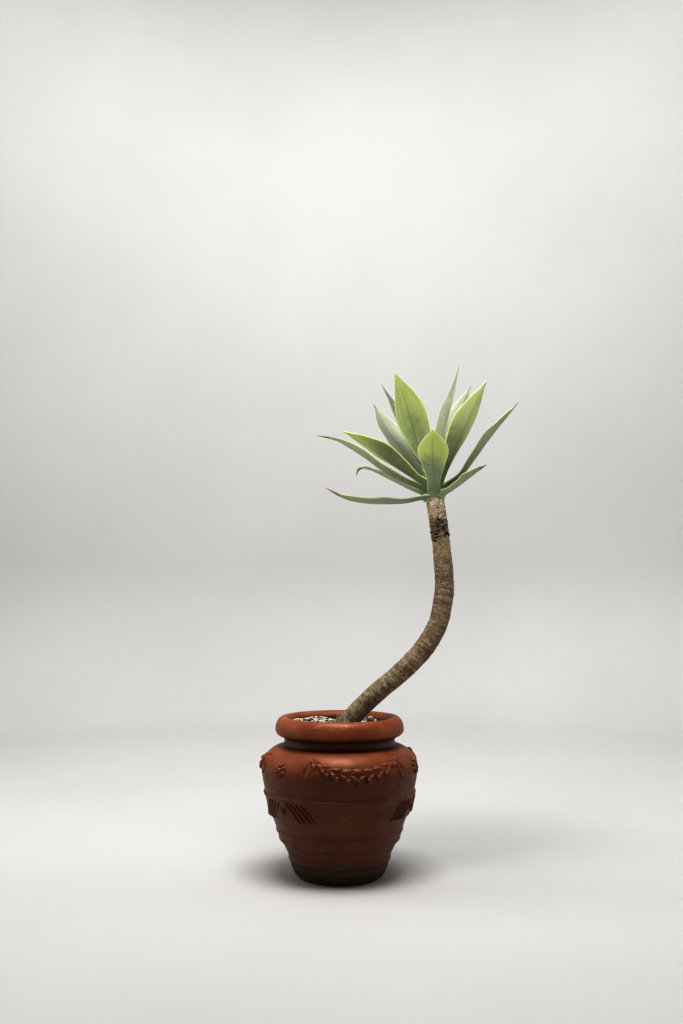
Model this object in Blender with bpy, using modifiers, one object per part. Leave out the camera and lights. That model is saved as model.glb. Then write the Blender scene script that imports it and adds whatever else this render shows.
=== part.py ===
"""Agave on a long bent stem in a terracotta pot. Metres, +Z up, origin under the middle of the pot's foot."""

import math
import random

import bmesh
import bpy
import numpy as np
from mathutils import Matrix, Vector

NAME = "potted_agave"
GAP = 0.0003
MERGE = 0.00001

# Pot
POT_HEIGHT = 0.298
POT_FLOOR = 0.018
POT_SEGMENTS = 45
FOOT_RADIUS = 0.0785
RIM_RADIUS = 0.1085
RIM_HALF_WIDTH = 0.0152
RIM_MIDDLE = 0.274
RIM_UNDERSIDE = 0.017
NECK_RADIUS = 0.1075
NECK_HEIGHT = 0.252
SHOULDER_RADIUS = 0.107
BELLY_RADIUS = 0.1497
BELLY_HEIGHT = 0.200
SHOULDER_RISE = 0.047
DRAIN_RADIUS = 0.007
DRAIN_CIRCLE = 0.034
DRAINS = 3

# Below the belly: radius and height of the raised band, the turned ridges and the foot
LOWER_OUTLINE = (
    (0.1477, 0.186),
    (0.1443, 0.169),
    (0.1428, 0.1625),
    (0.1457, 0.1595),
    (0.1452, 0.1555),
    (0.1417, 0.152),
    (0.1362, 0.124),
    (0.1340, 0.118),
    (0.1288, 0.1150),
    (0.1240, 0.102),
    (0.1205, 0.0925),
    (0.1215, 0.087),
    (0.1165, 0.081),
    (0.1160, 0.0735),
    (0.1143, 0.069),
    (0.1090, 0.0655),
    (0.1020, 0.052),
    (0.0965, 0.041),
    (0.0978, 0.034),
    (0.0930, 0.0285),
    (0.0922, 0.020),
    (0.0887, 0.015),
    (0.0872, 0.0095),
    (0.0800, 0.0012),
    (FOOT_RADIUS, 0.0),
)

# Inside wall, from the mouth down to the floor
INNER_OUTLINE = (
    (0.0938, 0.262),
    (0.0955, 0.249),
    (0.1140, 0.235),
    (0.1310, 0.212),
    (0.1340, 0.193),
    (0.1270, 0.155),
    (0.1080, 0.095),
    (0.0840, 0.037),
    (0.0700, POT_FLOOR),
)

# Relief on the pot: three repeats round it, angles counted from the front towards +X
REPEATS = 3
SWAG_MIDDLE = math.radians(12.5)
SWAG_HALF_SPAN = math.radians(34)
SWAG_HIGH = 0.231
SWAG_LOW = 0.210
SWAG_THIN = 0.0050
SWAG_THICK = 0.0125
SWAG_SUNK = 0.45
SWAG_STATIONS = 11
FRUITS = 4
FRUIT_RADIUS = 0.0064
FRUIT_STEP = 0.185
FRUIT_SHIFT = 0.05
FRUIT_DROP = 0.0110
FRUIT_PROUD = 0.0018
# Leaves of the garland: share of the half span, and lean in degrees
GARLAND_LEAVES = ((0.16, 24), (0.44, 34), (0.72, 46))
GARLAND_LEAF_SIZE = (0.0115, 0.0056, 0.0046)
GARLAND_LEAF_RISE = 0.0085
GARLAND_LEAF_PROUD = 0.0012
KNOT_SIZE = (0.0056, 0.0056, 0.0044)
KNOT_PROUD = 0.0008
# Ribbon at a swag's end: degrees from the swag's middle, height and half width
RIBBON = ((35.5, 0.226, 0.0030), (38.5, 0.214, 0.0044), (40.5, 0.202, 0.0046), (43.5, 0.191, 0.0026))
RELIEF_SUNK = 0.0004
ROSETTE_OFFSET = math.radians(60)
ROSETTE_HEIGHT = 0.211
ROSETTE_RADIUS = 0.0082
ROSETTE_PROUD = 0.0012
ROSETTE_BOSS = (0.0050, 0.0050, 0.0046)
PETALS = 8
PETAL_SIZE = (0.0050, 0.0030, 0.0030)
PETAL_DROP = 0.0010
BAND_BOSS = (0.0046, 0.0060, 0.0040)
RIDGES = 4
RIDGE_RADIUS = 0.0030
RIDGE_TOP = 0.1515
RIDGE_BOTTOM = 0.1205
RIDGE_FIRST = math.radians(4)
RIDGE_STEP = math.radians(4.6)
RIDGE_SLANT = math.radians(11.5)
RIDGE_TAPER = 0.7

# Soil and top dressing
SOIL_TOP = 0.2745
GRAVEL_RADIUS = 0.087
GRAVEL_BED = 0.0028
PEBBLES = 36
PEBBLE_INNER = 0.016
PEBBLE_OUTER = 0.0795
PEBBLE_SIZES = (0.0044, 0.0070)
PEBBLE_BREADTH = (0.65, 0.95)
PEBBLE_HEIGHT = (0.55, 0.80)
PEBBLE_TILT = 0.25
PEBBLE_WANDER = 0.15
PEBBLE_LIFT = 0.0006
PEBBLE_SEED = 11

# Stem: centreline from its buried end to the crown, with the stem's radius there
STEM = (
    ((-0.022, 0.002, 0.243), 0.0150),
    ((-0.006, 0.001, 0.262), 0.0180),
    ((0.0257, 0.000, 0.298), 0.0184),
    ((0.0435, -0.002, 0.317), 0.0183),
    ((0.0759, -0.004, 0.347), 0.0186),
    ((0.1141, -0.006, 0.378), 0.0187),
    ((0.1600, -0.006, 0.424), 0.0189),
    ((0.1884, -0.003, 0.470), 0.0190),
    ((0.2015, 0.001, 0.517), 0.0188),
    ((0.2050, 0.004, 0.560), 0.0186),
    ((0.2020, 0.004, 0.610), 0.0180),
    ((0.1955, 0.002, 0.660), 0.0172),
    ((0.1893, 0.000, 0.705), 0.0168),
    ((0.1860, 0.000, 0.722), 0.0165),
)
STEM_STATIONS = 36
STEM_ROUNDNESS = 5
SCAR_DEPTH = 0.0005
CROWN_X = 0.186
CROWN_Y = 0.0
# The crown that the leaves sit on: height and radius
CROWN = ((0.722, 0.0165), (0.745, 0.0130), (0.768, 0.0092), (0.790, 0.0050))
LEAF_SEAT = 0.0007

# Leaf blade: half width along it as a share of the widest, after a base that clasps the crown, and its thickness
BLADE_SHARES = (0.0, 0.08, 0.18, 0.28, 0.38, 0.48, 0.58, 0.68, 0.78, 0.87, 0.94, 1.0)
BASE_CLASP = 0.80
BASE_END = 0.10
BLADE_OUTLINE = ((0.30, 0.66), (0.50, 1.0), (0.66, 0.92), (0.82, 0.52), (0.93, 0.16), (1.0, 0.03))
BLADE_THICK = ((0.0, 0.0046), (0.25, 0.0042), (0.6, 0.0030), (0.9, 0.0016), (1.0, 0.0008))
BLADE_EDGE = 0.0009
BLADE_COLUMNS = (-1.0, -0.5, 0.0, 0.5, 1.0)

# Leaves from the lowest up: azimuth from +X towards +Y, height of the base on the crown, width, the share of the
# length where it is widest, channel, roll, then the spine's further points as reach from the crown, height, sideways
LEAVES = (
    ("leaf_left_low", 190, 0.7200, 0.052, 0.44, 0.30, 0,
     ((0.069, 0.712, 0), (0.130, 0.710, 0), (0.177, 0.717, 0), (0.217, 0.737, 0))),
    ("leaf_back_low", 92, 0.7195, 0.062, 0.50, 0.28, 0,
     ((0.090, 0.754, 0), (0.150, 0.780, 0), (0.205, 0.805, 0))),
    ("leaf_left_curled", 152, 0.7265, 0.050, 0.48, 0.28, 0,
     ((0.096, 0.766, 0), (0.140, 0.787, 0), (0.164, 0.789, 0), (0.173, 0.776, 0))),
    ("leaf_right_low", 342, 0.7260, 0.044, 0.50, 0.34, 0,
     ((0.050, 0.747, 0), (0.083, 0.769, 0), (0.105, 0.783, 0))),
    ("leaf_back_right", 74, 0.7290, 0.064, 0.50, 0.28, 0,
     ((0.060, 0.790, 0), (0.110, 0.855, 0), (0.165, 0.905, 0))),
    ("leaf_front", 264, 0.7300, 0.060, 0.62, 0.25, 0,
     ((0.060, 0.757, 0), (0.105, 0.795, 0), (0.142, 0.834, 0))),
    ("leaf_left_long", 174, 0.7345, 0.060, 0.46, 0.30, 0,
     ((0.095, 0.776, 0), (0.139, 0.807, 0), (0.190, 0.838, 0), (0.234, 0.850, 0))),
    ("leaf_right_long", 6, 0.7365, 0.060, 0.44, 0.32, -14,
     ((0.050, 0.763, 0), (0.083, 0.804, 0), (0.112, 0.843, 0), (0.174, 0.917, 0))),
    ("leaf_left_bright", 208, 0.7425, 0.060, 0.50, 0.28, 10,
     ((0.081, 0.779, 0), (0.112, 0.796, 0), (0.160, 0.820, 0), (0.206, 0.838, 0))),
    ("leaf_left_pale", 134, 0.7460, 0.070, 0.52, 0.28, -8,
     ((0.060, 0.795, 0), (0.126, 0.874, 0), (0.166, 0.933, 0))),
    ("leaf_right_bright", 322, 0.7455, 0.064, 0.50, 0.28, -10,
     ((0.040, 0.803, 0), (0.067, 0.850, 0), (0.097, 0.900, 0), (0.122, 0.940, 0))),
    ("leaf_right_pale", 50, 0.7488, 0.058, 0.50, 0.28, 0,
     ((0.040, 0.805, 0), (0.077, 0.867, 0), (0.111, 0.930, 0), (0.138, 0.971, 0))),
    ("leaf_left_thin", 147, 0.7550, 0.054, 0.48, 0.30, 0,
     ((0.044, 0.814, 0), (0.073, 0.869, 0), (0.099, 0.924, 0), (0.119, 0.963, 0))),
    ("leaf_upright_left", 118, 0.7665, 0.080, 0.48, 0.26, 0,
     ((0.024, 0.820, 0.0175), (0.033, 0.870, 0.030), (0.043, 0.922, 0.0405), (0.055, 0.981, 0.058))),
    ("leaf_upright_right", 28, 0.7740, 0.042, 0.38, 0.36, 0,
     ((0.021, 0.848, 0), (0.035, 0.900, 0), (0.051, 0.947, 0), (0.063, 0.994, 0))),
)
SPEAR_TOP = 0.852
SPEAR_RADIUS = 0.0062

COLOURS = {
    "pot": (0.30, 0.088, 0.042),
    "soil": (0.035, 0.024, 0.017),
    "gravel": (0.66, 0.59, 0.48),
    "stem": (0.23, 0.18, 0.125),
    "leaf": (0.30, 0.42, 0.13),
    "spear": (0.38, 0.48, 0.20),
}
ROUGHNESS = {"pot": 0.62, "soil": 0.95, "gravel": 0.8, "stem": 0.85, "leaf": 0.48, "spear": 0.45}


def clear_scene():
    for thing in list(bpy.data.objects):
        bpy.data.objects.remove(thing, do_unlink=True)


def new_collection(name):
    made = bpy.data.collections.new(name)
    bpy.context.scene.collection.children.link(made)
    return made


def new_material(name, look):
    made = bpy.data.materials.new(name)
    made.use_nodes = True
    shader = made.node_tree.nodes["Principled BSDF"]
    shader.inputs["Base Color"].default_value = (*COLOURS[look], 1.0)
    shader.inputs["Roughness"].default_value = ROUGHNESS[look]
    shader.inputs["Metallic"].default_value = 0.0
    return made


def new_object(name, mesh, collection, look=None):
    thing = bpy.data.objects.new(name, mesh)
    collection.objects.link(thing)
    if look:
        mesh.materials.clear()
        mesh.materials.append(new_material(name, look))
    return thing


def bake(thing):
    """Gives an object the mesh that its modifiers make, and takes the modifiers off."""
    bpy.context.view_layer.update()
    graph = bpy.context.evaluated_depsgraph_get()
    mesh = bpy.data.meshes.new_from_object(thing.evaluated_get(graph))
    thing.modifiers.clear()
    thing.data = mesh


def remove_all(collection):
    for thing in list(collection.objects):
        bpy.data.objects.remove(thing, do_unlink=True)
    bpy.data.collections.remove(collection)


def join_all(thing, collection):
    """Unites a collection's objects with one object, and removes them."""
    union = thing.modifiers.new("union", "BOOLEAN")
    union.operation = "UNION"
    union.operand_type = "COLLECTION"
    union.collection = collection
    union.solver = "EXACT"
    bake(thing)
    remove_all(collection)


def cut(thing, cutter):
    difference = thing.modifiers.new("cut_" + cutter.name, "BOOLEAN")
    difference.operation = "DIFFERENCE"
    difference.object = cutter
    difference.solver = "EXACT"


def as_cutter(thing):
    thing.hide_render = True
    thing.display_type = "WIRE"
    return thing


def smooth_shading(thing, angle=35):
    thing.data.shade_smooth()
    thing.data.set_sharp_from_angle(angle=math.radians(angle))


def turned(name, outline, collection, look=None):
    """A solid turned about Z: its outline is (radius, height) from axis to axis, with the outer side going down."""
    mesh = bpy.data.meshes.new(name)
    points = [(radius, 0.0, height) for radius, height in outline]
    mesh.from_pydata(points, [(i, i + 1) for i in range(len(points) - 1)], [])
    thing = new_object(name, mesh, collection, look)
    screw = thing.modifiers.new("turn", "SCREW")
    screw.axis = "Z"
    screw.steps = POT_SEGMENTS
    screw.render_steps = POT_SEGMENTS
    screw.use_merge_vertices = True
    screw.merge_threshold = MERGE
    bake(thing)
    if look:
        thing.data.materials.clear()
        thing.data.materials.append(bpy.data.materials[name])
    return thing


def curve_points(points, shares):
    """Places at the given shares of the length of a smooth curve through the points."""
    given = [np.array(p, float) for p in points]
    ends = [2 * given[0] - given[1], *given, 2 * given[-1] - given[-2]]
    fine = [given[0]]
    for a, b, c, d in zip(ends, ends[1:], ends[2:], ends[3:]):
        for step in range(1, 13):
            t = step / 12
            curve = 2 * b + (c - a) * t + (2 * a - 5 * b + 4 * c - d) * t**2 + (3 * b - a - 3 * c + d) * t**3
            fine.append(curve / 2)
    fine = np.array(fine)
    length = np.concatenate([[0], np.cumsum(np.linalg.norm(np.diff(fine, axis=0), axis=1))])
    wanted = np.array(shares) * length[-1]
    return np.stack([np.interp(wanted, length, fine[:, k]) for k in range(fine.shape[1])], axis=1)


def tube(name, points, radii, roundness, collection, look=None):
    """A closed tube through the points, with its own radius at each."""
    curve = bpy.data.curves.new(name, "CURVE")
    curve.dimensions = "3D"
    curve.bevel_depth = 1.0
    curve.bevel_resolution = roundness
    curve.use_fill_caps = True
    spline = curve.splines.new("POLY")
    spline.points.add(len(points) - 1)
    for point, place, radius in zip(spline.points, points, radii):
        point.co = (*place, 1.0)
        point.radius = radius
    thing = bpy.data.objects.new(name + "_curve", curve)
    collection.objects.link(thing)
    bpy.context.view_layer.update()
    graph = bpy.context.evaluated_depsgraph_get()
    mesh = bpy.data.meshes.new_from_object(thing.evaluated_get(graph))
    bpy.data.objects.remove(thing, do_unlink=True)
    weld(mesh)
    return new_object(name, mesh, collection, look)


def weld(mesh):
    shape = bmesh.new()
    shape.from_mesh(mesh)
    bmesh.ops.remove_doubles(shape, verts=shape.verts, dist=MERGE)
    bmesh.ops.recalc_face_normals(shape, faces=shape.faces)
    shape.to_mesh(mesh)
    shape.free()


def pebble(name, place, size, turn, detail, collection):
    """A ball stretched to size along its own axes, turned by a matrix and put in place."""
    mesh = bpy.data.meshes.new(name)
    shape = bmesh.new()
    bmesh.ops.create_icosphere(shape, subdivisions=detail, radius=1.0)
    matrix = Matrix.Translation(place) @ turn.to_4x4() @ Matrix.Diagonal((*size, 1.0))
    bmesh.ops.transform(shape, matrix=matrix, verts=shape.verts)
    shape.to_mesh(mesh)
    shape.free()
    return new_object(name, mesh, collection)


def rim_outline():
    """The rolled rim, from the mouth over the top to under the roll."""
    rise = POT_HEIGHT - RIM_MIDDLE
    points = []
    for degrees in (150, 122, 94, 66, 40, 16, -8, -32, -56, -78):
        angle = math.radians(degrees)
        half_height = rise if degrees > 0 else RIM_UNDERSIDE
        points.append((RIM_RADIUS + RIM_HALF_WIDTH * math.cos(angle), RIM_MIDDLE + half_height * math.sin(angle)))
    return points


def shoulder_outline():
    points = []
    for degrees in (80, 63, 46, 30, 15, 0):
        angle = math.radians(degrees)
        reach = BELLY_RADIUS - SHOULDER_RADIUS
        points.append((SHOULDER_RADIUS + reach * math.cos(angle), BELLY_HEIGHT + SHOULDER_RISE * math.sin(angle)))
    return points


def pot_outline():
    inside = [(0.0, POT_FLOOR), *reversed(INNER_OUTLINE)]
    outside = [*rim_outline(), (NECK_RADIUS, NECK_HEIGHT), *shoulder_outline(), *LOWER_OUTLINE]
    return [*inside, *outside, (0.0, 0.0)]


def pot_radius(height):
    """The pot's outer radius between its foot and its neck."""
    outline = [(NECK_RADIUS, NECK_HEIGHT), *shoulder_outline(), *LOWER_OUTLINE]
    heights = [h for _, h in reversed(outline)]
    radii = [r for r, _ in reversed(outline)]
    return float(np.interp(height, heights, radii))


def on_pot(angle, height, proud=0.0):
    """The place on the pot's outside at an angle from the front, and the turn whose Z points out of it there."""
    radius = pot_radius(height)
    around = Vector((math.cos(angle), math.sin(angle), 0))
    outward = Vector((math.sin(angle), -math.cos(angle), 0))
    step = 0.004
    slope = (pot_radius(height + step) - pot_radius(height - step)) / (2 * step)
    up = (outward * slope + Vector((0, 0, 1))).normalized()
    out = around.cross(up).normalized()
    place = outward * radius + Vector((0, 0, height)) + out * proud
    return place, Matrix((around, up, out)).transposed()


def swag_height(share):
    return SWAG_LOW + (SWAG_HIGH - SWAG_LOW) * share**2


def add_swag(middle, relief, label):
    """A hanging garland between two knots, with leaves along its upper side and fruits under its middle."""
    points, radii = [], []
    for station in range(SWAG_STATIONS):
        share = 2 * station / (SWAG_STATIONS - 1) - 1
        radius = SWAG_THICK + (SWAG_THIN - SWAG_THICK) * abs(share) ** 1.5
        place, _ = on_pot(middle + SWAG_HALF_SPAN * share, swag_height(share), -SWAG_SUNK * radius)
        points.append(place)
        radii.append(radius)
    tube(f"swag_{label}", points, radii, 2, relief)
    for fruit in range(FRUITS):
        share = (fruit - (FRUITS - 1) / 2) * FRUIT_STEP + FRUIT_SHIFT
        place, turn = on_pot(middle + SWAG_HALF_SPAN * share, swag_height(share) - FRUIT_DROP, FRUIT_PROUD)
        pebble(f"fruit_{label}_{fruit}", place, (FRUIT_RADIUS,) * 3, turn, 2, relief)
    for side in (-1, 1):
        for share, lean in GARLAND_LEAVES:
            height = swag_height(share) + GARLAND_LEAF_RISE
            place, turn = on_pot(middle + side * SWAG_HALF_SPAN * share, height, GARLAND_LEAF_PROUD)
            leaf_turn = turn @ Matrix.Rotation(math.radians(side * lean), 3, "Z")
            pebble(f"garland_leaf_{label}_{side}_{lean}", place, GARLAND_LEAF_SIZE, leaf_turn, 1, relief)
        add_tail(middle, side, relief, label)


def add_tail(middle, side, relief, label):
    """The knot at a swag's end, and the ribbon that drops from it."""
    place, turn = on_pot(middle + side * SWAG_HALF_SPAN, SWAG_HIGH, KNOT_PROUD)
    pebble(f"knot_{label}_{side}", place, KNOT_SIZE, turn, 1, relief)
    ribbon = [on_pot(middle + side * math.radians(angle), height, -RELIEF_SUNK)[0] for angle, height, _ in RIBBON]
    tube(f"ribbon_{label}_{side}", ribbon, [radius for _, _, radius in RIBBON], 1, relief)


def add_rosette(angle, relief, label):
    place, turn = on_pot(angle, ROSETTE_HEIGHT, ROSETTE_PROUD)
    pebble(f"rosette_boss_{label}", place, ROSETTE_BOSS, turn, 1, relief)
    for petal in range(PETALS):
        spin = turn @ Matrix.Rotation(2 * math.pi * petal / PETALS, 3, "Z")
        petal_place = place + spin @ Vector((ROSETTE_RADIUS, 0, -PETAL_DROP))
        pebble(f"petal_{label}_{petal}", petal_place, PETAL_SIZE, spin, 1, relief)


def add_ridges(angle, relief, label):
    """Slanting ridges on both sides of a small boss, in the raised band."""
    place, turn = on_pot(angle, (RIDGE_TOP + RIDGE_BOTTOM) / 2)
    pebble(f"band_boss_{label}", place, BAND_BOSS, turn, 1, relief)
    radii = (RIDGE_RADIUS * RIDGE_TAPER, RIDGE_RADIUS, RIDGE_RADIUS * RIDGE_TAPER)
    for side in (-1, 1):
        for ridge in range(RIDGES):
            start = RIDGE_FIRST + ridge * RIDGE_STEP
            line = []
            for share in (0, 0.5, 1):
                height = RIDGE_TOP + (RIDGE_BOTTOM - RIDGE_TOP) * share
                line.append(on_pot(angle + side * (start + RIDGE_SLANT * share), height, -RELIEF_SUNK)[0])
            tube(f"ridge_{label}_{side}_{ridge}", line, radii, 0, relief)


def make_pot(collection, cutters):
    pot = turned("pot", pot_outline(), collection, "pot")
    relief = new_collection("relief")
    for repeat in range(REPEATS):
        middle = SWAG_MIDDLE + 2 * math.pi * repeat / REPEATS
        add_swag(middle, relief, repeat)
        add_rosette(middle + ROSETTE_OFFSET, relief, repeat)
        add_ridges(middle + ROSETTE_OFFSET, relief, repeat)
    join_all(pot, relief)
    for drain in range(DRAINS):
        angle = 2 * math.pi * drain / DRAINS
        place = (DRAIN_CIRCLE * math.cos(angle), DRAIN_CIRCLE * math.sin(angle), POT_FLOOR / 2)
        bpy.ops.mesh.primitive_cylinder_add(vertices=16, radius=DRAIN_RADIUS, depth=2 * POT_FLOOR, location=place)
        hole = bpy.context.object
        hole.name = f"drain_{drain}"
        for other in list(hole.users_collection):
            other.objects.unlink(hole)
        cutters.objects.link(hole)
        cut(pot, as_cutter(hole))
    bake(pot)
    smooth_shading(pot)
    return pot


def offset_outline(outline, distance):
    """Moves an open outline sideways, to its left as it runs."""
    points = [Vector(p) for p in outline]
    moved = []
    for before, here, after in zip([points[0], *points], points, [*points[1:], points[-1]]):
        sides = []
        for a, b in ((before, here), (here, after)):
            if (b - a).length > 0:
                run = (b - a).normalized()
                sides.append(Vector((-run.y, run.x)))
        normal = sum(sides, Vector((0, 0))).normalized()
        moved.append(tuple(here + normal * (distance / max(normal.dot(sides[0]), 0.5))))
    return moved


def make_soil(collection, stem_cutter):
    """Fills the pot up to its flat surface, a hair inside its wall."""
    wall = [rim_outline()[0], *INNER_OUTLINE]
    heights = [h for _, h in reversed(wall)]
    radii = [r for r, _ in reversed(wall)]
    edge = float(np.interp(SOIL_TOP, heights, radii))
    below = [point for point in wall if point[1] < SOIL_TOP]
    fill = offset_outline([(edge, SOIL_TOP), *below, (0.0, POT_FLOOR)], -GAP)
    fill[-1] = (0.0, POT_FLOOR + GAP)
    soil = turned("soil", [(0.0, SOIL_TOP), *fill], collection, "soil")
    cut(soil, stem_cutter)
    bake(soil)
    smooth_shading(soil)
    return soil


def make_gravel(collection, stem_cutter):
    """Pale angular pebbles, sunk into a thin bed that lies on the soil."""
    under = SOIL_TOP + GAP
    over = under + GRAVEL_BED
    outline = ((0.0, over), (GRAVEL_RADIUS - GRAVEL_BED, over), (GRAVEL_RADIUS, under), (0.0, under))
    gravel = turned("gravel", outline, collection, "gravel")
    stones = new_collection("stones")
    draw = random.Random(PEBBLE_SEED)
    spacing = math.pi * (3 - math.sqrt(5))
    for stone in range(PEBBLES):
        reach = PEBBLE_INNER + (PEBBLE_OUTER - PEBBLE_INNER) * math.sqrt((stone + 0.5) / PEBBLES)
        angle = stone * spacing + draw.uniform(-PEBBLE_WANDER, PEBBLE_WANDER)
        size = draw.uniform(*PEBBLE_SIZES)
        shape = (size, size * draw.uniform(*PEBBLE_BREADTH), size * draw.uniform(*PEBBLE_HEIGHT))
        tilt = draw.uniform(-PEBBLE_TILT, PEBBLE_TILT)
        turn = Matrix.Rotation(draw.uniform(0, math.tau), 3, "Z") @ Matrix.Rotation(tilt, 3, "X")
        half_height = math.hypot(shape[2] * math.cos(tilt), shape[1] * math.sin(tilt))
        height = under + half_height + PEBBLE_LIFT
        place = Vector((reach * math.cos(angle), reach * math.sin(angle), height))
        pebble(f"stone_{stone}", place, shape, turn, 1, stones)
    join_all(gravel, stones)
    cut(gravel, stem_cutter)
    bake(gravel)
    return gravel


def stem_path():
    """Rows of x, y, z and radius from the buried end to the crown."""
    shares = [i / (STEM_STATIONS - 1) for i in range(STEM_STATIONS)]
    return curve_points([(*place, radius) for place, radius in STEM], shares)


def make_stem(collection):
    path = stem_path()
    points = [tuple(row[:3]) for row in path]
    radii = [row[3] + SCAR_DEPTH * (1 if station % 2 else -1) for station, row in enumerate(path)]
    for height, radius in CROWN[1:]:
        points.append((CROWN_X, CROWN_Y, height))
        radii.append(radius)
    stem = tube("stem", points, radii, STEM_ROUNDNESS, collection, "stem")
    smooth_shading(stem, 50)
    return stem


def make_stem_cutter(cutters):
    """The stem's buried stretch, a gap wider all round, as the plain hole that it stands in."""
    path = stem_path()
    buried = [row for row in path if row[2] < POT_HEIGHT + 0.012]
    start = Vector(buried[0][:3])
    back = (start - Vector(buried[1][:3])).normalized() * GAP
    points = [tuple(start + back), *[tuple(row[:3]) for row in buried[1:]]]
    radii = [row[3] + SCAR_DEPTH + GAP for row in buried]
    return as_cutter(tube("stem_hole", points, radii, STEM_ROUNDNESS, cutters))


def crown_radius(height):
    return float(np.interp(height, [h for h, _ in CROWN], [radius for _, radius in CROWN]))


def blade_frames(azimuth, spine, shares, roll):
    """Place, side and upward directions along a leaf's spine."""
    angle = math.radians(azimuth)
    away = Vector((math.cos(angle), math.sin(angle), 0))
    aside = Vector((-math.sin(angle), math.cos(angle), 0))
    places = []
    for reach, height, sideways in spine:
        places.append(Vector((CROWN_X, CROWN_Y, height)) + away * reach + aside * sideways)
    fine = 0.01
    along = curve_points(places, shares)
    ahead = curve_points(places, [min(s + fine, 1.0) for s in shares])
    behind = curve_points(places, [max(s - fine, 0.0) for s in shares])
    frames = []
    for share, here, front, back in zip(shares, along, ahead, behind):
        run = Vector(front - back).normalized()
        side = (aside - run * aside.dot(run)).normalized()
        turn = Matrix.Rotation(math.radians(roll) * min(share / 0.5, 1.0), 3, run)
        frames.append((Vector(here), turn @ side, turn @ run.cross(side)))
    return frames


def blade_half_width(share, base_half, width, widest):
    """Half the blade's width: a clasping base, then the outline, widest at the given share of the length."""
    shift = math.log(0.5) / math.log(widest)
    shares = [0.0, BASE_END, *[at for at, _ in BLADE_OUTLINE]]
    halves = [base_half, base_half, *[width / 2 * part for _, part in BLADE_OUTLINE]]
    return float(np.interp(share**shift, shares, halves))


def make_leaf(name, azimuth, base, width, widest, channel, roll, beyond, collection):
    """A channelled blade seated on the crown, lofted along its spine and split alike on both faces."""
    base_half = crown_radius(base) * BASE_CLASP
    spine = ((crown_radius(base) + LEAF_SEAT, base, 0), *beyond)
    thick_at = [s for s, _ in BLADE_THICK]
    thick = [t for _, t in BLADE_THICK]
    shape = bmesh.new()
    upper, lower = [], []
    for share, (place, side, up) in zip(BLADE_SHARES, blade_frames(azimuth, spine, BLADE_SHARES, roll)):
        half = blade_half_width(share, base_half, width, widest)
        middle = float(np.interp(share, thick_at, thick))
        top_row, bottom_row = [], []
        for column in BLADE_COLUMNS:
            rise = half * channel * (0.55 * column**2 + 0.45 * abs(column))
            thickness = min(BLADE_EDGE, middle) + (middle - min(BLADE_EDGE, middle)) * (1 - column**2)
            top = place + side * (half * column) + up * rise
            top_row.append(shape.verts.new(top))
            bottom_row.append(shape.verts.new(top - up * thickness))
        upper.append(top_row)
        lower.append(bottom_row)
    last = len(BLADE_COLUMNS) - 1
    for row in range(len(BLADE_SHARES) - 1):
        for column in range(last):
            for sheet in (upper, lower):
                a, b = sheet[row][column], sheet[row][column + 1]
                c, d = sheet[row + 1][column + 1], sheet[row + 1][column]
                shape.faces.new((a, b, c))
                shape.faces.new((a, c, d))
        for column in (0, last):
            corners = (upper[row][column], upper[row + 1][column], lower[row + 1][column], lower[row][column])
            shape.faces.new(corners)
    for row in (0, len(BLADE_SHARES) - 1):
        for column in range(last):
            corners = (upper[row][column], upper[row][column + 1], lower[row][column + 1], lower[row][column])
            shape.faces.new(corners)
    bmesh.ops.recalc_face_normals(shape, faces=shape.faces)
    mesh = bpy.data.meshes.new(name)
    shape.to_mesh(mesh)
    shape.free()
    leaf = new_object(name, mesh, collection, "leaf")
    smooth_shading(leaf, 50)
    return leaf


def make_spear(collection):
    """The furled bud in the middle of the crown."""
    bottom = CROWN[-1][0] + GAP
    heights = [bottom + (SPEAR_TOP - bottom) * share for share in (0, 0.2, 0.5, 0.8, 1)]
    radii = [SPEAR_RADIUS * share for share in (0.85, 1.0, 0.85, 0.45, 0.1)]
    points = [(CROWN_X, CROWN_Y, height) for height in heights]
    spear = tube("leaf_spear", points, radii, 3, collection, "spear")
    smooth_shading(spear)
    return spear


def main():
    clear_scene()
    parts = new_collection(NAME)
    cutters = new_collection("cutters")
    make_pot(parts, cutters)
    make_stem(parts)
    stem_cutter = make_stem_cutter(cutters)
    make_soil(parts, stem_cutter)
    make_gravel(parts, stem_cutter)
    for leaf in LEAVES:
        make_leaf(*leaf, parts)
    make_spear(parts)


main()
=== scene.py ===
"""Looks of the potted agave: finer pieces with procedural materials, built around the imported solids."""

import random
from math import atan2, cos, exp, hypot, log, pi, radians, sin, sqrt, tau

import bmesh
import bpy
import numpy as np
from mathutils import Matrix, Vector, noise
from mathutils.geometry import tessellate_polygon


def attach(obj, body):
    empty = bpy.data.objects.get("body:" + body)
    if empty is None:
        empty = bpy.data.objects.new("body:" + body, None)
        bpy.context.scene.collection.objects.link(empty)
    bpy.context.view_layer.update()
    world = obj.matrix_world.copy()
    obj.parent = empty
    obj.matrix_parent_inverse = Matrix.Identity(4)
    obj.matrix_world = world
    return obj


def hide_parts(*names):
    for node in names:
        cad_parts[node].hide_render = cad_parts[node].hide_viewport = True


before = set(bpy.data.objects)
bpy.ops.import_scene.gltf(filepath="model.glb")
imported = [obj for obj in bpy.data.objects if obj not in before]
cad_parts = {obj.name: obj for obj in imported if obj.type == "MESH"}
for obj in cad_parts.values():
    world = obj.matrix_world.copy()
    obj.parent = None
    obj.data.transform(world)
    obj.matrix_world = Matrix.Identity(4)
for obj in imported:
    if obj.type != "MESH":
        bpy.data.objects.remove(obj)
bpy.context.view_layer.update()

# Camera: lens and sensor in mm, place in metres, tilt in degrees
LENS = 35.0
SENSOR = 36.0
CAMERA_PLACE = (0.0035, -1.95, 0.511)
CAMERA_TILT = 95.34

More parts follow.
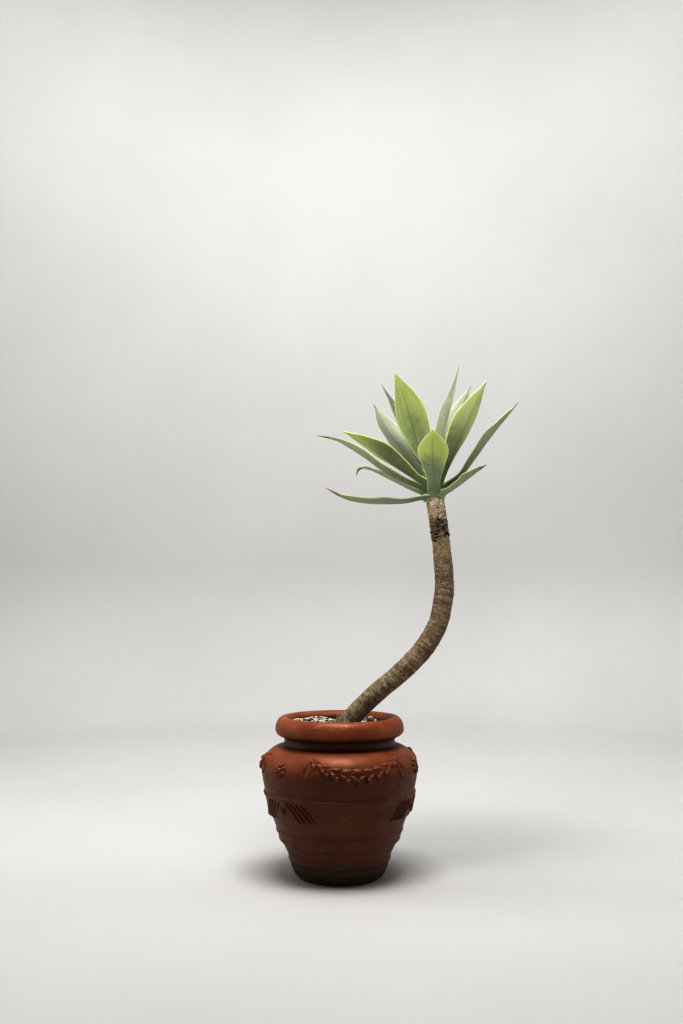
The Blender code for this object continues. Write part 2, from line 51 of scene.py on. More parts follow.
# Pot, as in the solid but for a slimmer roll and a longer neck
POT_HEIGHT = 0.298
POT_FLOOR = 0.018
RIM_RADIUS = 0.1085
RIM_HALF_WIDTH = 0.0152
RIM_MIDDLE = 0.274
RIM_UNDERSIDE = 0.0128
NECK_RADIUS = 0.106
NECK_TOP = 0.258
NECK_FOOT = 0.2475
SHOULDER_RADIUS = 0.107
BELLY_RADIUS = 0.1497
BELLY_HEIGHT = 0.2
SHOULDER_RISE = 0.0445
DRAIN_RADIUS = 0.007
DRAIN_CIRCLE = 0.034
DRAINS = 3
LOWER_OUTLINE = (
    (0.1477, 0.186), (0.1443, 0.169), (0.1428, 0.1625), (0.1457, 0.1595), (0.1452, 0.1555),
    (0.1417, 0.152), (0.1362, 0.124), (0.134, 0.118), (0.1288, 0.115), (0.124, 0.102),
    (0.1205, 0.0925), (0.1215, 0.087), (0.1165, 0.081), (0.116, 0.0735), (0.1143, 0.069),
    (0.109, 0.0655), (0.102, 0.052), (0.0965, 0.041), (0.0978, 0.034), (0.093, 0.0285),
    (0.0922, 0.02), (0.0887, 0.015), (0.0872, 0.0095), (0.08, 0.0012), (0.0785, 0.0),
)
INNER_OUTLINE = (
    (0.0938, 0.262), (0.0955, 0.249), (0.114, 0.235), (0.131, 0.212), (0.134, 0.193),
    (0.127, 0.155), (0.108, 0.095), (0.084, 0.037), (0.07, POT_FLOOR),
)
POT_SEGMENTS = 288
HAND_WOBBLE = 0.0005
FLOOR_JOIN = 0.046
DRAIN_SIDES = 40
RIM_STEPS = 24
SHOULDER_STEPS = 14
# Heights of the shade round the neck: where it starts, is full, ebbs and ends
NECK_SHADE = (0.239, 0.247, 0.2615, 0.2715)

# Relief on the pot, in three repeats: lengths in metres along the wall, angles from the front towards +X
REPEATS = 3
RELIEF_ROOT = -0.0012
RELIEF_BACK = -0.003
RELIEF_STEP = 0.00072
SWAG_MIDDLE = radians(12.5)
SWAG_HALF_SPAN = radians(34)
SWAG_HIGH = 0.231
SWAG_LOW = 0.21
SWAG_CORE = 0.0092
SWAG_CORE_TAPER = 0.0055
SWAG_CORE_RISE = 0.003
# Leaves of a garland: pairs, rise, then for the upper and the lower one its side, spread, length and width
LEAF_PAIRS = 5
LEAF_RISE = 0.0062
SWAG_LEAVES = ((1, 0.24, 0.029, 0.0125), (-1, 0.46, 0.0225, 0.011))
KNOT_RADIUS = 0.0046
KNOT_RISE = 0.0044
# Fruits of a garland: place along it as a share of its half span, radius, and how far they hang below it
FRUITS = (
    (-0.62, 0.0046, 0.0092), (-0.42, 0.0056, 0.0112), (-0.19, 0.0064, 0.0126), (0.03, 0.0072, 0.0134),
    (0.25, 0.0066, 0.0126), (0.46, 0.0056, 0.0112), (0.65, 0.0046, 0.009),
)
# Ribbons at a garland's end: degrees from its middle, height and half width
RIBBONS = (
    ((34.2, 0.229, 0.0028), (35.2, 0.22, 0.0044), (34.6, 0.211, 0.004)),
    ((34.6, 0.211, 0.004), (35.6, 0.204, 0.0036), (35.0, 0.1975, 0.0012)),
    ((34.4, 0.229, 0.0024), (37.0, 0.2235, 0.0038), (38.6, 0.216, 0.0014)),
)
RIBBON_RISE = 0.0022
ROSETTE_OFFSET = radians(60)
ROSETTE_HEIGHT = 0.211
ROSETTE_DISC = 0.0108
ROSETTE_BOSS = 0.0048
ROSETTE_BOSS_RISE = 0.0056
PETALS = 8
PETAL_REACH = 0.0099
PETAL_HALF_LENGTH = 0.005
PETAL_HALF_WIDTH = 0.0036
PETAL_RISE = 0.0038
RIDGE_TOP = 0.1515
RIDGE_BOTTOM = 0.1205
RIDGES = 4
RIDGE_FIRST_DEGREES = 4
RIDGE_PITCH_DEGREES = 4.6
RIDGE_SLANT = radians(11.5)
RIDGE_RISE = 0.0022
RIDGE_HALF_WIDTHS = (0.0022, 0.004, 0.0018)
RIDGE_BOSS = 0.0062
RIDGE_BOSS_RISE = 0.0044

# Soil and top dressing; heaps as x, y, spread and height, big stones as x, y and size
SOIL_TOP = 0.2745
SOIL_IN_HEAPS = 0.72
SOIL_RINGS = 110
SOIL_SEGMENTS = 240
SOIL_SETTLE = 0.004
GAP = 0.0003
GRAVEL_REACH = 0.092
GRAVEL_LIMIT = 0.2925
DRESSING = 0.0042
HEAPS = ((-0.044, 0.056, 0.036, 0.0125), (-0.084, 0.01, 0.028, 0.0115), (0.06, 0.062, 0.019, 0.0115))
BIG_STONES = ((-0.03, 0.03, 0.0105), (-0.058, 0.048, 0.0078), (0.06, 0.06, 0.0072))
PILE_CELLS = 184
CHIPS = 1400
CHIP_TRIES = 12000
CHIP_SMALL = 0.0021
CHIP_LARGE = 0.0062
CHIP_SUNK = 0.22
CHIP_FACETS = 8
STEM_CLEARANCE = 0.0185

# Stem: centreline from its buried end to the crown, with the stem's radius there
STEM = (
    ((-0.022, 0.002, 0.243), 0.015),
    ((-0.006, 0.001, 0.262), 0.018),
    ((0.0257, 0.0, 0.298), 0.0184),
    ((0.0435, -0.002, 0.317), 0.0183),
    ((0.0759, -0.004, 0.347), 0.0186),
    ((0.1141, -0.006, 0.378), 0.0187),
    ((0.16, -0.006, 0.424), 0.0189),
    ((0.1884, -0.003, 0.47), 0.019),
    ((0.2015, 0.001, 0.517), 0.0188),
    ((0.205, 0.004, 0.56), 0.0186),
    ((0.202, 0.004, 0.61), 0.018),
    ((0.1955, 0.002, 0.66), 0.0172),
    ((0.1893, 0.0, 0.705), 0.0168),
    ((0.186, 0.0, 0.722), 0.0165),
)
CROWN_X = 0.186
CROWN_Y = 0.0
CROWN = ((0.722, 0.0165), (0.745, 0.013), (0.768, 0.0092), (0.79, 0.005))
LEAF_SEAT = 0.0007
STEM_STATIONS = 760
STEM_SIDES = 76
# Stretches of bark by height: where each starts, is full, ebbs and ends, or only starts and is full
RED_STRETCH = (0.34, 0.45, 0.54, 0.62)
NETTED_STRETCH = (0.575, 0.625, 0.65, 0.7)
BLACK_STRETCH = (0.652, 0.668, 0.694, 0.716)
CREAM_START = (0.665, 0.73)
GREEN_START = (0.7225, 0.73)

# Remains of leaf bases under the crown, darker below DARK_TOP
SCALE_ROWS = 11
SCALES_A_ROW = 10
SCALE_LOW = 0.638
SCALE_HIGH = 0.7185
SCALE_THICK = 0.0005
DARK_TOP = 0.696
DARK_FADE = 0.034

# Spurs: where each leaves the bark, its direction and its length
SPURS = (
    (0.1895, 0.435, 0.8, -0.6, 0.0046),
    (0.1445, 0.3815, 0.7, -0.71, 0.0034),
    (0.2215, 0.53, 0.98, 0.2, 0.002),
)
SPUR_ROOTED = 0.0042
ROOTLETS = 26
TWIG_SIDES = 9
TWIG_STATIONS = 14

# Leaf blades: half width along them as a share of the widest, past the base that clasps the crown; thickness
BASE_CLASP = 0.8
BASE_END = 0.1
BLADE_OUTLINE = ((0.3, 0.66), (0.5, 1.0), (0.66, 0.92), (0.82, 0.52), (0.93, 0.16), (1.0, 0.012))
BLADE_THICK = ((0.0, 0.0046), (0.25, 0.0042), (0.6, 0.003), (0.9, 0.0016), (1.0, 0.0007))
BLADE_EDGE = 0.0007
BLADE_ROWS = 84
BLADE_COLUMNS = 26
CLASP_DROP = 0.0075
CLASP_RISE = 0.06
CLASP_TURN = radians(62)
CLASP_END = 0.17

# Palette of the leaves, in linear colour; the lime, straw and grass greens are painted light, the glow of
# light shining through thin blades
GLAUCOUS = (0.29, 0.335, 0.225)
PALE = (0.37, 0.405, 0.27)
SAGE = (0.385, 0.43, 0.28)
OLIVE = (0.205, 0.24, 0.115)
LIME_GLOW = (0.545, 0.595, 0.22)
GRASS_GLOW = (0.335, 0.378, 0.13)
STRAW_GLOW = (0.66, 0.7, 0.36)
MIST = (0.27, 0.287, 0.205)
MOSS = (0.255, 0.305, 0.13)
DRY_RED = (0.3, 0.125, 0.06)
DRY_GREY = (0.19, 0.18, 0.15)
# Painted shade on the tips of the leaves that curl over
CURLED_TIP_SHADE = (0.17, 0.2, 0.075)
PALE_MARGIN = (0.84, 0.86, 0.64)

# Leaves from the lowest up: azimuth from +X towards +Y, height of the base on the crown, width, the share of
# the length where it is widest, channel, roll; the spine's further points as reach from the crown's axis,
# height and a step to the side where it takes one; colour of the lower part and of the upper part, the share
# of the length where one turns into the other, how wide that change is, how far it leans to one side, how far
# the upper colour runs down the margins, colour of the tip and the share where it starts
# Upper parts and tips in lime, straw or grass green are painted light shining through the blade
LEAVES = (
    ("leaf_left_low", 190, 0.72, 0.052, 0.44, 0.3, 0,
     ((0.069, 0.712), (0.13, 0.71), (0.177, 0.717), (0.217, 0.737)),
     (GLAUCOUS, PALE, 0.45, 0.3, 0.1, 0.1, DRY_RED, 0.86)),
    ("leaf_back_low", 92, 0.7195, 0.062, 0.5, 0.28, 0,
     ((0.09, 0.754), (0.15, 0.78), (0.205, 0.805)),
     (GLAUCOUS, SAGE, 0.5, 0.3, 0.1, 0.1, DRY_GREY, 0.95)),
    ("leaf_left_curled", 152, 0.7265, 0.05, 0.48, 0.28, 0,
     ((0.096, 0.766), (0.14, 0.787), (0.164, 0.789), (0.173, 0.776)),
     (SAGE, PALE, 0.4, 0.3, 0.0, 0.1, CURLED_TIP_SHADE, 0.88)),
    ("leaf_right_low", 342, 0.726, 0.044, 0.5, 0.34, 0,
     ((0.05, 0.747), (0.083, 0.769), (0.105, 0.783)),
     (SAGE, PALE, 0.45, 0.3, 0.0, 0.1, CURLED_TIP_SHADE, 0.84)),
    ("leaf_back_right", 74, 0.729, 0.064, 0.5, 0.28, 0,
     ((0.06, 0.79), (0.11, 0.855), (0.165, 0.905)),
     (GLAUCOUS, PALE, 0.5, 0.3, 0.1, 0.1, DRY_GREY, 0.95)),
    ("leaf_front", 264, 0.73, 0.06, 0.62, 0.25, 0,
     ((0.06, 0.757), (0.105, 0.795), (0.142, 0.834)),
     (GLAUCOUS, LIME_GLOW, 0.6, 0.13, 0.09, 0.1, LIME_GLOW, 1.1)),
    ("leaf_left_long", 174, 0.7345, 0.06, 0.46, 0.3, 0,
     ((0.095, 0.776), (0.139, 0.807), (0.19, 0.838), (0.234, 0.85)),
     (OLIVE, SAGE, 0.45, 0.3, 0.0, 0.15, DRY_GREY, 0.9)),
    ("leaf_right_long", 6, 0.7365, 0.06, 0.44, 0.32, -14,
     ((0.05, 0.763), (0.083, 0.804), (0.112, 0.843), (0.174, 0.917)),
     (OLIVE, SAGE, 0.42, 0.26, 0.1, 0.15, DRY_GREY, 0.93)),
    ("leaf_left_bright", 208, 0.7425, 0.06, 0.5, 0.28, 10,
     ((0.081, 0.779), (0.112, 0.796), (0.16, 0.82), (0.206, 0.838)),
     (OLIVE, LIME_GLOW, 0.62, 0.2, -0.3, 0.14, LIME_GLOW, 1.1)),
    ("leaf_left_pale", 134, 0.746, 0.07, 0.52, 0.28, -8,
     ((0.06, 0.795), (0.126, 0.874), (0.166, 0.933)),
     (MIST, MIST, 0.35, 0.3, 0.0, 0.1, DRY_GREY, 0.95)),
    ("leaf_right_bright", 322, 0.7455, 0.064, 0.5, 0.28, -10,
     ((0.04, 0.803), (0.067, 0.85), (0.097, 0.9), (0.122, 0.94)),
     (OLIVE, STRAW_GLOW, 0.5, 0.26, 0.24, 0.16, STRAW_GLOW, 1.1)),
    ("leaf_right_pale", 50, 0.7488, 0.058, 0.5, 0.28, 0,
     ((0.04, 0.805), (0.077, 0.867), (0.111, 0.93), (0.138, 0.971)),
     (MIST, MIST, 0.35, 0.3, 0.0, 0.1, DRY_GREY, 0.96)),
    ("leaf_left_thin", 147, 0.755, 0.054, 0.48, 0.3, 0,
     ((0.044, 0.814), (0.073, 0.869), (0.099, 0.924), (0.119, 0.963)),
     (GLAUCOUS, DRY_GREY, 0.7, 0.2, 0.0, 0.0, DRY_GREY, 0.85)),
    ("leaf_upright_left", 118, 0.7665, 0.08, 0.48, 0.26, 0,
     ((0.024, 0.82, 0.0175), (0.033, 0.87, 0.03), (0.043, 0.922, 0.0405), (0.055, 0.981, 0.058)),
     (OLIVE, GRASS_GLOW, 0.58, 0.2, 0.12, 0.26, LIME_GLOW, 0.97)),
    ("leaf_upright_right", 28, 0.774, 0.042, 0.38, 0.36, 0,
     ((0.021, 0.848), (0.035, 0.9), (0.051, 0.947), (0.063, 0.994)),
     (MIST, MIST, 0.5, 0.3, 0.0, 0.0, MOSS, 0.93)),
)
SPEAR_TOP = 0.852
SPEAR_RADIUS = 0.0062
SPEAR_OUTLINE = ((0, 0.8), (0.2, 1), (0.5, 0.84), (0.8, 0.45), (0.95, 0.14), (1, 0.02))
SPEAR_ROWS = 70
SPEAR_SIDES = 72

# Stage
ROOM_RADIUS = 3.0
ROOM_BEND = 0.7
ROOM_HEIGHT = 5.0
ROOM_SIDES = 96
CONTRAST = 0.7
SKY = (0.8, 0.82, 0.84, 1.0)
SKY_STRENGTH = 0.04

# Lights: place, the point they face, size, watts, colour and spread in degrees
MIDDLE = (0.05, 0.0, 0.45)
LIGHTS = (
    ("overhead", (0.05, -0.52, 2.28), MIDDLE, (1.2, 0.8), 66, (1.0, 0.99, 0.97), 180),
    ("crown", (-0.55, -1.75, 1.35), (0.19, 0.0, 0.9), (0.35, 0.35), 0.45, (1.0, 0.99, 0.96), 20),
    ("left", (-1.75, 0.25, 1.15), MIDDLE, (0.9, 1.5), 11, (1.0, 0.99, 0.97), 180),
    ("right", (1.85, 0.35, 0.95), MIDDLE, (0.9, 1.5), 6, (1.0, 0.98, 0.96), 180),
    ("wall", (0.0, 0.7, 4.2), (0.0, 3.0, 1.35), (3.6, 1.0), 94, (1.0, 1.0, 1.0), 120),
)


# Helpers for node trees


def put(tree, socket, value):
    """Links a socket to a wire, or sets its own value."""
    if isinstance(value, Wire):
        tree.links.new(value.socket, socket)
    elif hasattr(socket.default_value, "__len__") and hasattr(value, "__len__"):
        socket.default_value = (*value, 1.0)[:len(socket.default_value)]
    else:
        socket.default_value = value


class Wire:
    """A node's output, with short calls for the nodes that can follow it."""

    def __init__(self, tree, socket):
        self.tree = tree
        self.socket = socket

    def node(self, kind, inputs, output=0, **settings):
        """Adds a node with the given inputs, and gives one of its outputs."""
        made = self.tree.nodes.new(kind)
        for key, value in settings.items():
            setattr(made, key, value)
        for name, value in inputs.items():
            put(self.tree, made.inputs[name], value)
        return Wire(self.tree, made.outputs[output])

    def math(self, operation, other=0.0):
        return self.node("ShaderNodeMath", {0: self, 1: other}, operation=operation)

    def __add__(self, other):
        return self.math("ADD", other)

    def __sub__(self, other):
        return self.math("SUBTRACT", other)

    def __mul__(self, other):
        return self.math("MULTIPLY", other)

    def __pow__(self, other):
        return self.math("POWER", other)

    def split(self):
        first = self.node("ShaderNodeSeparateXYZ", {0: self})
        return [Wire(self.tree, output) for output in first.socket.node.outputs]

    def scaled(self, x, y, z):
        return self.node("ShaderNodeVectorMath", {0: self, 1: (x, y, z)}, operation="MULTIPLY")

    def shifted(self, other):
        return self.node("ShaderNodeVectorMath", {0: self, 1: other}, operation="ADD")

    def noise(self, scale, detail=4.0, rough=0.55, distortion=0.0):
        inputs = {"Vector": self, "Scale": scale, "Detail": detail, "Roughness": rough}
        return self.node("ShaderNodeTexNoise", {**inputs, "Distortion": distortion}, "Fac")

    def cells(self, scale, feature="F1"):
        inputs = {"Vector": self, "Scale": scale}
        return self.node("ShaderNodeTexVoronoi", inputs, "Distance", feature=feature)

    def step(self, low, high, start=0.0, end=1.0):
        """Smoothly from start to end, as this goes from low to high."""
        inputs = dict(enumerate((self, low, high, start, end)))
        return self.node("ShaderNodeMapRange", inputs, interpolation_type="SMOOTHSTEP")

    def band(self, start, full, ebb, end):
        """Rises from 0 to 1 between start and full, and falls back between ebb and end."""
        return self.step(start, full) * self.step(end, ebb)

    def mix(self, low, high):
        """A colour from low, where this is 0, to high, where it is 1."""
        return self.node("ShaderNodeMix", {0: self, 6: low, 7: high}, 2, data_type="RGBA")

    def tinted(self, tint):
        """This colour multiplied by another."""
        inputs = {0: 1.0, 6: self, 7: tint}
        return self.node("ShaderNodeMix", inputs, 2, data_type="RGBA", blend_type="MULTIPLY")

    def coats(self, *coats):
        """This colour under coats of paint, each with the share that it covers."""
        colour = self
        for share, paint in coats:
            colour = colour.node("ShaderNodeMix", {0: share, 6: colour, 7: paint}, 2, data_type="RGBA")
        return colour


class Look:
    """A Principled material, and the wires that its looks start from."""

    def __init__(self, name, roughness, **sockets):
        self.material = bpy.data.materials.new(name)
        self.material.use_nodes = True
        self.tree = self.material.node_tree
        self.shader = self.tree.nodes["Principled BSDF"]
        self.place = Wire(self.tree, self.tree.nodes.new("ShaderNodeTexCoord").outputs["Object"])
        for socket, value in {"Roughness": roughness, **sockets}.items():
            self.shader.inputs[socket.replace("_", " ")].default_value = value

    def attribute(self, name):
        made = self.tree.nodes.new("ShaderNodeAttribute")
        made.attribute_name = name
        return Wire(self.tree, made.outputs["Vector"])

    def finish(self, colour, roughness=None, height=None, distance=0.0, strength=1.0):
        """Joins the colour, the roughness and a bump to the shader."""
        put(self.tree, self.shader.inputs["Base Color"], colour)
        if roughness:
            put(self.tree, self.shader.inputs["Roughness"], roughness)
        if height:
            inputs = {"Strength": strength, "Distance": distance, "Height": height}
            put(self.tree, self.shader.inputs["Normal"], height.node("ShaderNodeBump", inputs))
        return self.material


# Helpers for meshes


def piece(name, verts, faces, material, slot, node=None, sharp=None, **vectors):
    """A piece on the root: the node it stands for, its sharp edges' angle and vectors for its material."""
    thing = smooth_object(name, verts, faces, material)
    if sharp:
        thing.data.set_sharp_from_angle(angle=radians(sharp))
    for key, rows in vectors.items():
        made = thing.data.attributes.new(key, "FLOAT_VECTOR", "POINT")
        made.data.foreach_set("vector", np.asarray(rows, np.float32).ravel())
    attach(thing, "root")
    if node:
        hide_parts(node)


def smooth_object(name, verts, faces, material):
    mesh = bpy.data.meshes.new(name)
    mesh.from_pydata([tuple(v) for v in verts], [], faces)
    mesh.update()
    mesh.shade_smooth()
    mesh.materials.append(material)
    thing = bpy.data.objects.new(name, mesh)
    bpy.context.scene.collection.objects.link(thing)
    return thing


def on_circle(radius, angle, height, x=0.0, y=0.0):
    return Vector((x + radius * cos(angle), y + radius * sin(angle), height))


def turns(count):
    """Even steps of angle, once round."""
    return [tau * step / count for step in range(count)]


def grid_faces(rows, columns, start=0, closed=False, flip=False):
    """Quads of a grid of vertices, where closed joins the last column to the first."""
    faces = []
    for row in range(rows - 1):
        for column in range(columns if closed else columns - 1):
            a = start + row * columns + column
            b = start + row * columns + (column + 1) % columns
            face = (a, b, b + columns, a + columns)
            faces.append(face[::-1] if flip else face)
    return faces


def tube_faces(rows, sides, start=0):
    """A tube's quads and its two flat ends."""
    first = [start + i for i in range(sides)]
    last = [i + (rows - 1) * sides for i in first]
    return [*grid_faces(rows, sides, start, closed=True), tuple(first[::-1]), tuple(last)]


def shell_faces(rows, columns, start=0):
    """Two grids back to back, joined round their border."""
    count = rows * columns
    border = [*range(columns), *[row * columns + columns - 1 for row in range(1, rows)],
              *[(rows - 1) * columns + column for column in range(columns - 2, -1, -1)],
              *[row * columns for row in range(rows - 2, 0, -1)]]
    faces = grid_faces(rows, columns, start) + grid_faces(rows, columns, start + count, flip=True)
    for a, b in zip(border, border[1:] + border[:1]):
        faces.append((start + b, start + a, start + count + a, start + count + b))
    return faces


def curve_points(points, shares):
    """Places at the given shares of the length of a smooth curve through the points."""
    given = [np.array(p, float) for p in points]
    ends = [2 * given[0] - given[1], *given, 2 * given[-1] - given[-2]]
    fine = [given[0]]
    for a, b, c, d in zip(ends, ends[1:], ends[2:], ends[3:]):
        for part in range(1, 13):
            t = part / 12
            curve = 2 * b + (c - a) * t + (2 * a - 5 * b + 4 * c - d) * t**2 + (3 * b - a - 3 * c + d) * t**3
            fine.append(curve / 2)
    fine = np.array(fine)
    length = run_length(fine)
    wanted = np.array(shares) * length[-1]
    return np.stack([np.interp(wanted, length, fine[:, k]) for k in range(fine.shape[1])], axis=1)


def run_length(points):
    """The length from the first point to each."""
    return np.concatenate([[0], np.cumsum(np.linalg.norm(np.diff(points, axis=0), axis=1))])


def wander(x, y, z, scale, seed):
    """Smooth noise between about -1 and 1."""
    return noise.noise(Vector((x * scale + seed, y * scale - seed, z * scale + 2 * seed)))


def smoothstep(value):
    value = np.clip(value, 0.0, 1.0)
    return value * value * (3 - 2 * value)


# Pot


def rim_outline():
    rise = POT_HEIGHT - RIM_MIDDLE
    points = []
    for angle in np.radians(np.linspace(150, -78, RIM_STEPS)):
        half_height = rise if angle > 0 else RIM_UNDERSIDE
        points.append((RIM_RADIUS + RIM_HALF_WIDTH * cos(angle), RIM_MIDDLE + half_height * sin(angle)))
    return points


def shoulder_outline():
    reach = BELLY_RADIUS - SHOULDER_RADIUS
    points = []
    for angle in np.radians(np.linspace(80, 0, SHOULDER_STEPS)):
        points.append((SHOULDER_RADIUS + reach * cos(angle), BELLY_HEIGHT + SHOULDER_RISE * sin(angle)))
    return points


def rounded(outline):
    """Cuts an open outline's corners twice, so that its ridges turn soft."""
    for _ in range(2):
        fine = [outline[0]]
        for (r0, z0), (r1, z1) in zip(outline, outline[1:]):
            fine.append((0.75 * r0 + 0.25 * r1, 0.75 * z0 + 0.25 * z1))
            fine.append((0.25 * r0 + 0.75 * r1, 0.25 * z0 + 0.75 * z1))
        outline = [*fine, outline[-1]]
    return outline


def outer_outline():
    rim, shoulder = rim_outline(), shoulder_outline()
    neck = rounded([rim[-1], (NECK_RADIUS, NECK_TOP), (NECK_RADIUS, NECK_FOOT), shoulder[0]])
    return [*rim, *neck[1:-1], *shoulder, *rounded([shoulder[-1], *LOWER_OUTLINE])[1:]]


def wall_outline():
    """From the floor's inner face up the inside, over the rim and down the outside to the foot."""
    inner = rounded([(FLOOR_JOIN, POT_FLOOR), *reversed(INNER_OUTLINE), rim_outline()[0]])
    return [*inner[:-1], *outer_outline(), (FLOOR_JOIN, 0.0)]


def pot_radius(height):
    """The outer radius below the neck."""
    heights, radii = zip(*sorted((z, r) for r, z in outer_outline() if z < NECK_FOOT))
    return np.interp(height, heights, radii)


def wobble(angle, height):
    """How far a hand-thrown wall strays from a true circle."""
    return HAND_WOBBLE * wander(cos(angle), sin(angle), height * 9, 1.3, 5.0)


def make_pot(material):
    """The wall as one turned surface, with a drained floor between its two ends."""
    outline = wall_outline()
    last = len(outline) - 1
    verts = []
    for at, (radius, height) in enumerate(outline):
        for angle in turns(POT_SEGMENTS):
            out = radius + (wobble(angle, height) if 0 < at < last else 0)
            verts.append((out * sin(angle), -out * cos(angle), height))
    faces = grid_faces(len(outline), POT_SEGMENTS, closed=True, flip=True)
    top, under = [range(POT_SEGMENTS)], [range(last * POT_SEGMENTS, len(verts))]
    for angle in turns(DRAINS):
        middle = on_circle(DRAIN_CIRCLE, angle, 0.0)
        start = len(verts)
        for height in (POT_FLOOR, 0.0):
            for turn in turns(DRAIN_SIDES):
                verts.append(on_circle(DRAIN_RADIUS, turn, height, middle.x, middle.y))
        faces += grid_faces(2, DRAIN_SIDES, start, closed=True)
        top.append(range(start, start + DRAIN_SIDES))
        under.append(range(start + DRAIN_SIDES, start + 2 * DRAIN_SIDES))
    for loops, facing_up in ((top, True), (under, False)):
        order = [i for loop in loops for i in loop]
        for corners in tessellate_polygon([[Vector(verts[i]) for i in loop] for loop in loops]):
            a, b, c = (order[i] for i in corners)
            up = (Vector(verts[b]) - Vector(verts[a])).cross(Vector(verts[c]) - Vector(verts[a])).z > 0
            faces.append((a, b, c) if up == facing_up else (c, b, a))
    piece("pot_wall", verts, faces, material, "terracotta", "pot", sharp=50)


# Relief on the pot, as heights over its wall on a fine grid


def half_round(distance, radius, height):
    """A rounded ridge's height at a distance from its middle, and below the wall outside it."""
    inside = 1 - (distance / radius) ** 2
    return np.where(inside > 0, height * np.sqrt(np.clip(inside, 0, 1)), RELIEF_ROOT)


def carved_leaf(u, v, at, lean, length, width, height):
    """A pointed leaf with lobed sides and a midrib, growing from a place in a direction."""
    along = ((u - at[0]) * cos(lean) + (v - at[1]) * sin(lean)) / length
    across = -(u - at[0]) * sin(lean) + (v - at[1]) * cos(lean)
    inside = (along > 0) & (along < 1)
    run = np.clip(along, 0.001, 0.999)
    half = width / 2 * np.sin(pi * run**0.75) ** 0.8 * (1 + 0.1 * np.cos(run * 8 * pi))
    share = np.clip(across / np.maximum(half, 1e-6), -1, 1)
    body = height * (0.35 + 0.65 * np.sin(pi * run)) * np.sqrt(1 - share**2)
    rib = height * 0.22 * np.exp(-((across / 0.0007) ** 2))
    veins = height * 0.05 * np.cos((run * 7 - np.abs(share) * 1.5) * 2 * pi) * (1 - share**2)
    return np.where(inside & (np.abs(across) < half), body + rib + veins, RELIEF_ROOT)


def strip(u, v, points, height, pleats, softness):
    """A ribbon through rows of place and half width, with pleats along it, and soft or steep sides."""
    best = np.full(u.shape, RELIEF_ROOT)
    for (u0, v0, w0), (u1, v1, w1) in zip(points, points[1:]):
        du, dv = u1 - u0, v1 - v0
        size = hypot(du, dv)
        share = np.clip(((u - u0) * du + (v - v0) * dv) / size**2, 0, 1)
        gap = np.hypot(u - u0 - share * du, v - v0 - share * dv)
        half = w0 + (w1 - w0) * share
        sideways = ((u - u0) * -dv + (v - v0) * du) / size
        fold = 1 + 0.25 * np.cos(pleats * pi * sideways / half)
        body = height * fold * np.clip(1 - (gap / half) ** 2, 0, 1) ** softness
        best = np.maximum(best, np.where(gap < half, body, RELIEF_ROOT))
    return best


def swag_point(share):
    return share * SWAG_HALF_SPAN * BELLY_RADIUS, SWAG_LOW + (SWAG_HIGH - SWAG_LOW) * share**2


def swag_heights(u, v):
    """A garland: a core, overlapping leaves that point to its middle, hanging fruits, knots and ribbons."""
    rest = SWAG_HALF_SPAN * BELLY_RADIUS
    drop = SWAG_HIGH - SWAG_LOW
    share = np.clip(u / rest, -1, 1)
    off = (v - SWAG_LOW - drop * share**2) / np.sqrt(1 + (2 * drop * share / rest) ** 2)
    core = half_round(off, SWAG_CORE - SWAG_CORE_TAPER * np.abs(share), SWAG_CORE_RISE)
    forms = [np.where(np.abs(u) < rest, core, RELIEF_ROOT)]
    for side in (-1, 1):
        for leaf in range(LEAF_PAIRS):
            at_share = 0.97 - 0.8 * leaf / (LEAF_PAIRS - 1)
            size = 1.12 - 0.5 * at_share
            slope = atan2(2 * drop * at_share, rest)
            at_u, at_v = swag_point(side * at_share)
            for up, spread, length, width in SWAG_LEAVES:
                lean = pi + slope - up * spread
                lean = lean if side > 0 else pi - lean
                rise = LEAF_RISE * size * (1 - 0.12 * (leaf % 2) - 0.12 * (up < 0))
                place = (at_u, at_v + up * 0.0016)
                forms.append(carved_leaf(u, v, place, lean, length * size, width * size, rise))
        knot_u, knot_v = swag_point(side)
        forms.append(half_round(np.hypot(u - knot_u, v - knot_v), KNOT_RADIUS, KNOT_RISE))
        for ribbon in RIBBONS:
            line = [(side * radians(angle) * BELLY_RADIUS, z, w) for angle, z, w in ribbon]
            forms.append(strip(u, v, line, RIBBON_RISE, 2, 0.6))
    for at_share, size, below in FRUITS:
        at_u, at_v = swag_point(at_share)
        forms.append(half_round(np.hypot(u - at_u, v - at_v + below), size, size * 0.95))
    return np.maximum.reduce(forms)


def rosette_heights(u, v):
    """A dimpled boss in a ring of round petals, on a thin disc."""
    up = v - ROSETTE_HEIGHT
    gap = np.hypot(u, up)
    forms = [half_round(gap, ROSETTE_BOSS, ROSETTE_BOSS_RISE) - 0.0014 * np.exp(-((gap / 0.0013) ** 2))]
    for petal in range(PETALS):
        angle = tau * (petal + 0.5) / PETALS
        along = u * cos(angle) + up * sin(angle) - PETAL_REACH
        across = -u * sin(angle) + up * cos(angle)
        share = np.hypot(along / PETAL_HALF_LENGTH, across / PETAL_HALF_WIDTH)
        forms.append(half_round(share, 1.0, PETAL_RISE))
    return np.maximum.reduce([*forms, np.where(gap < ROSETTE_DISC, 0.0006, RELIEF_ROOT)])


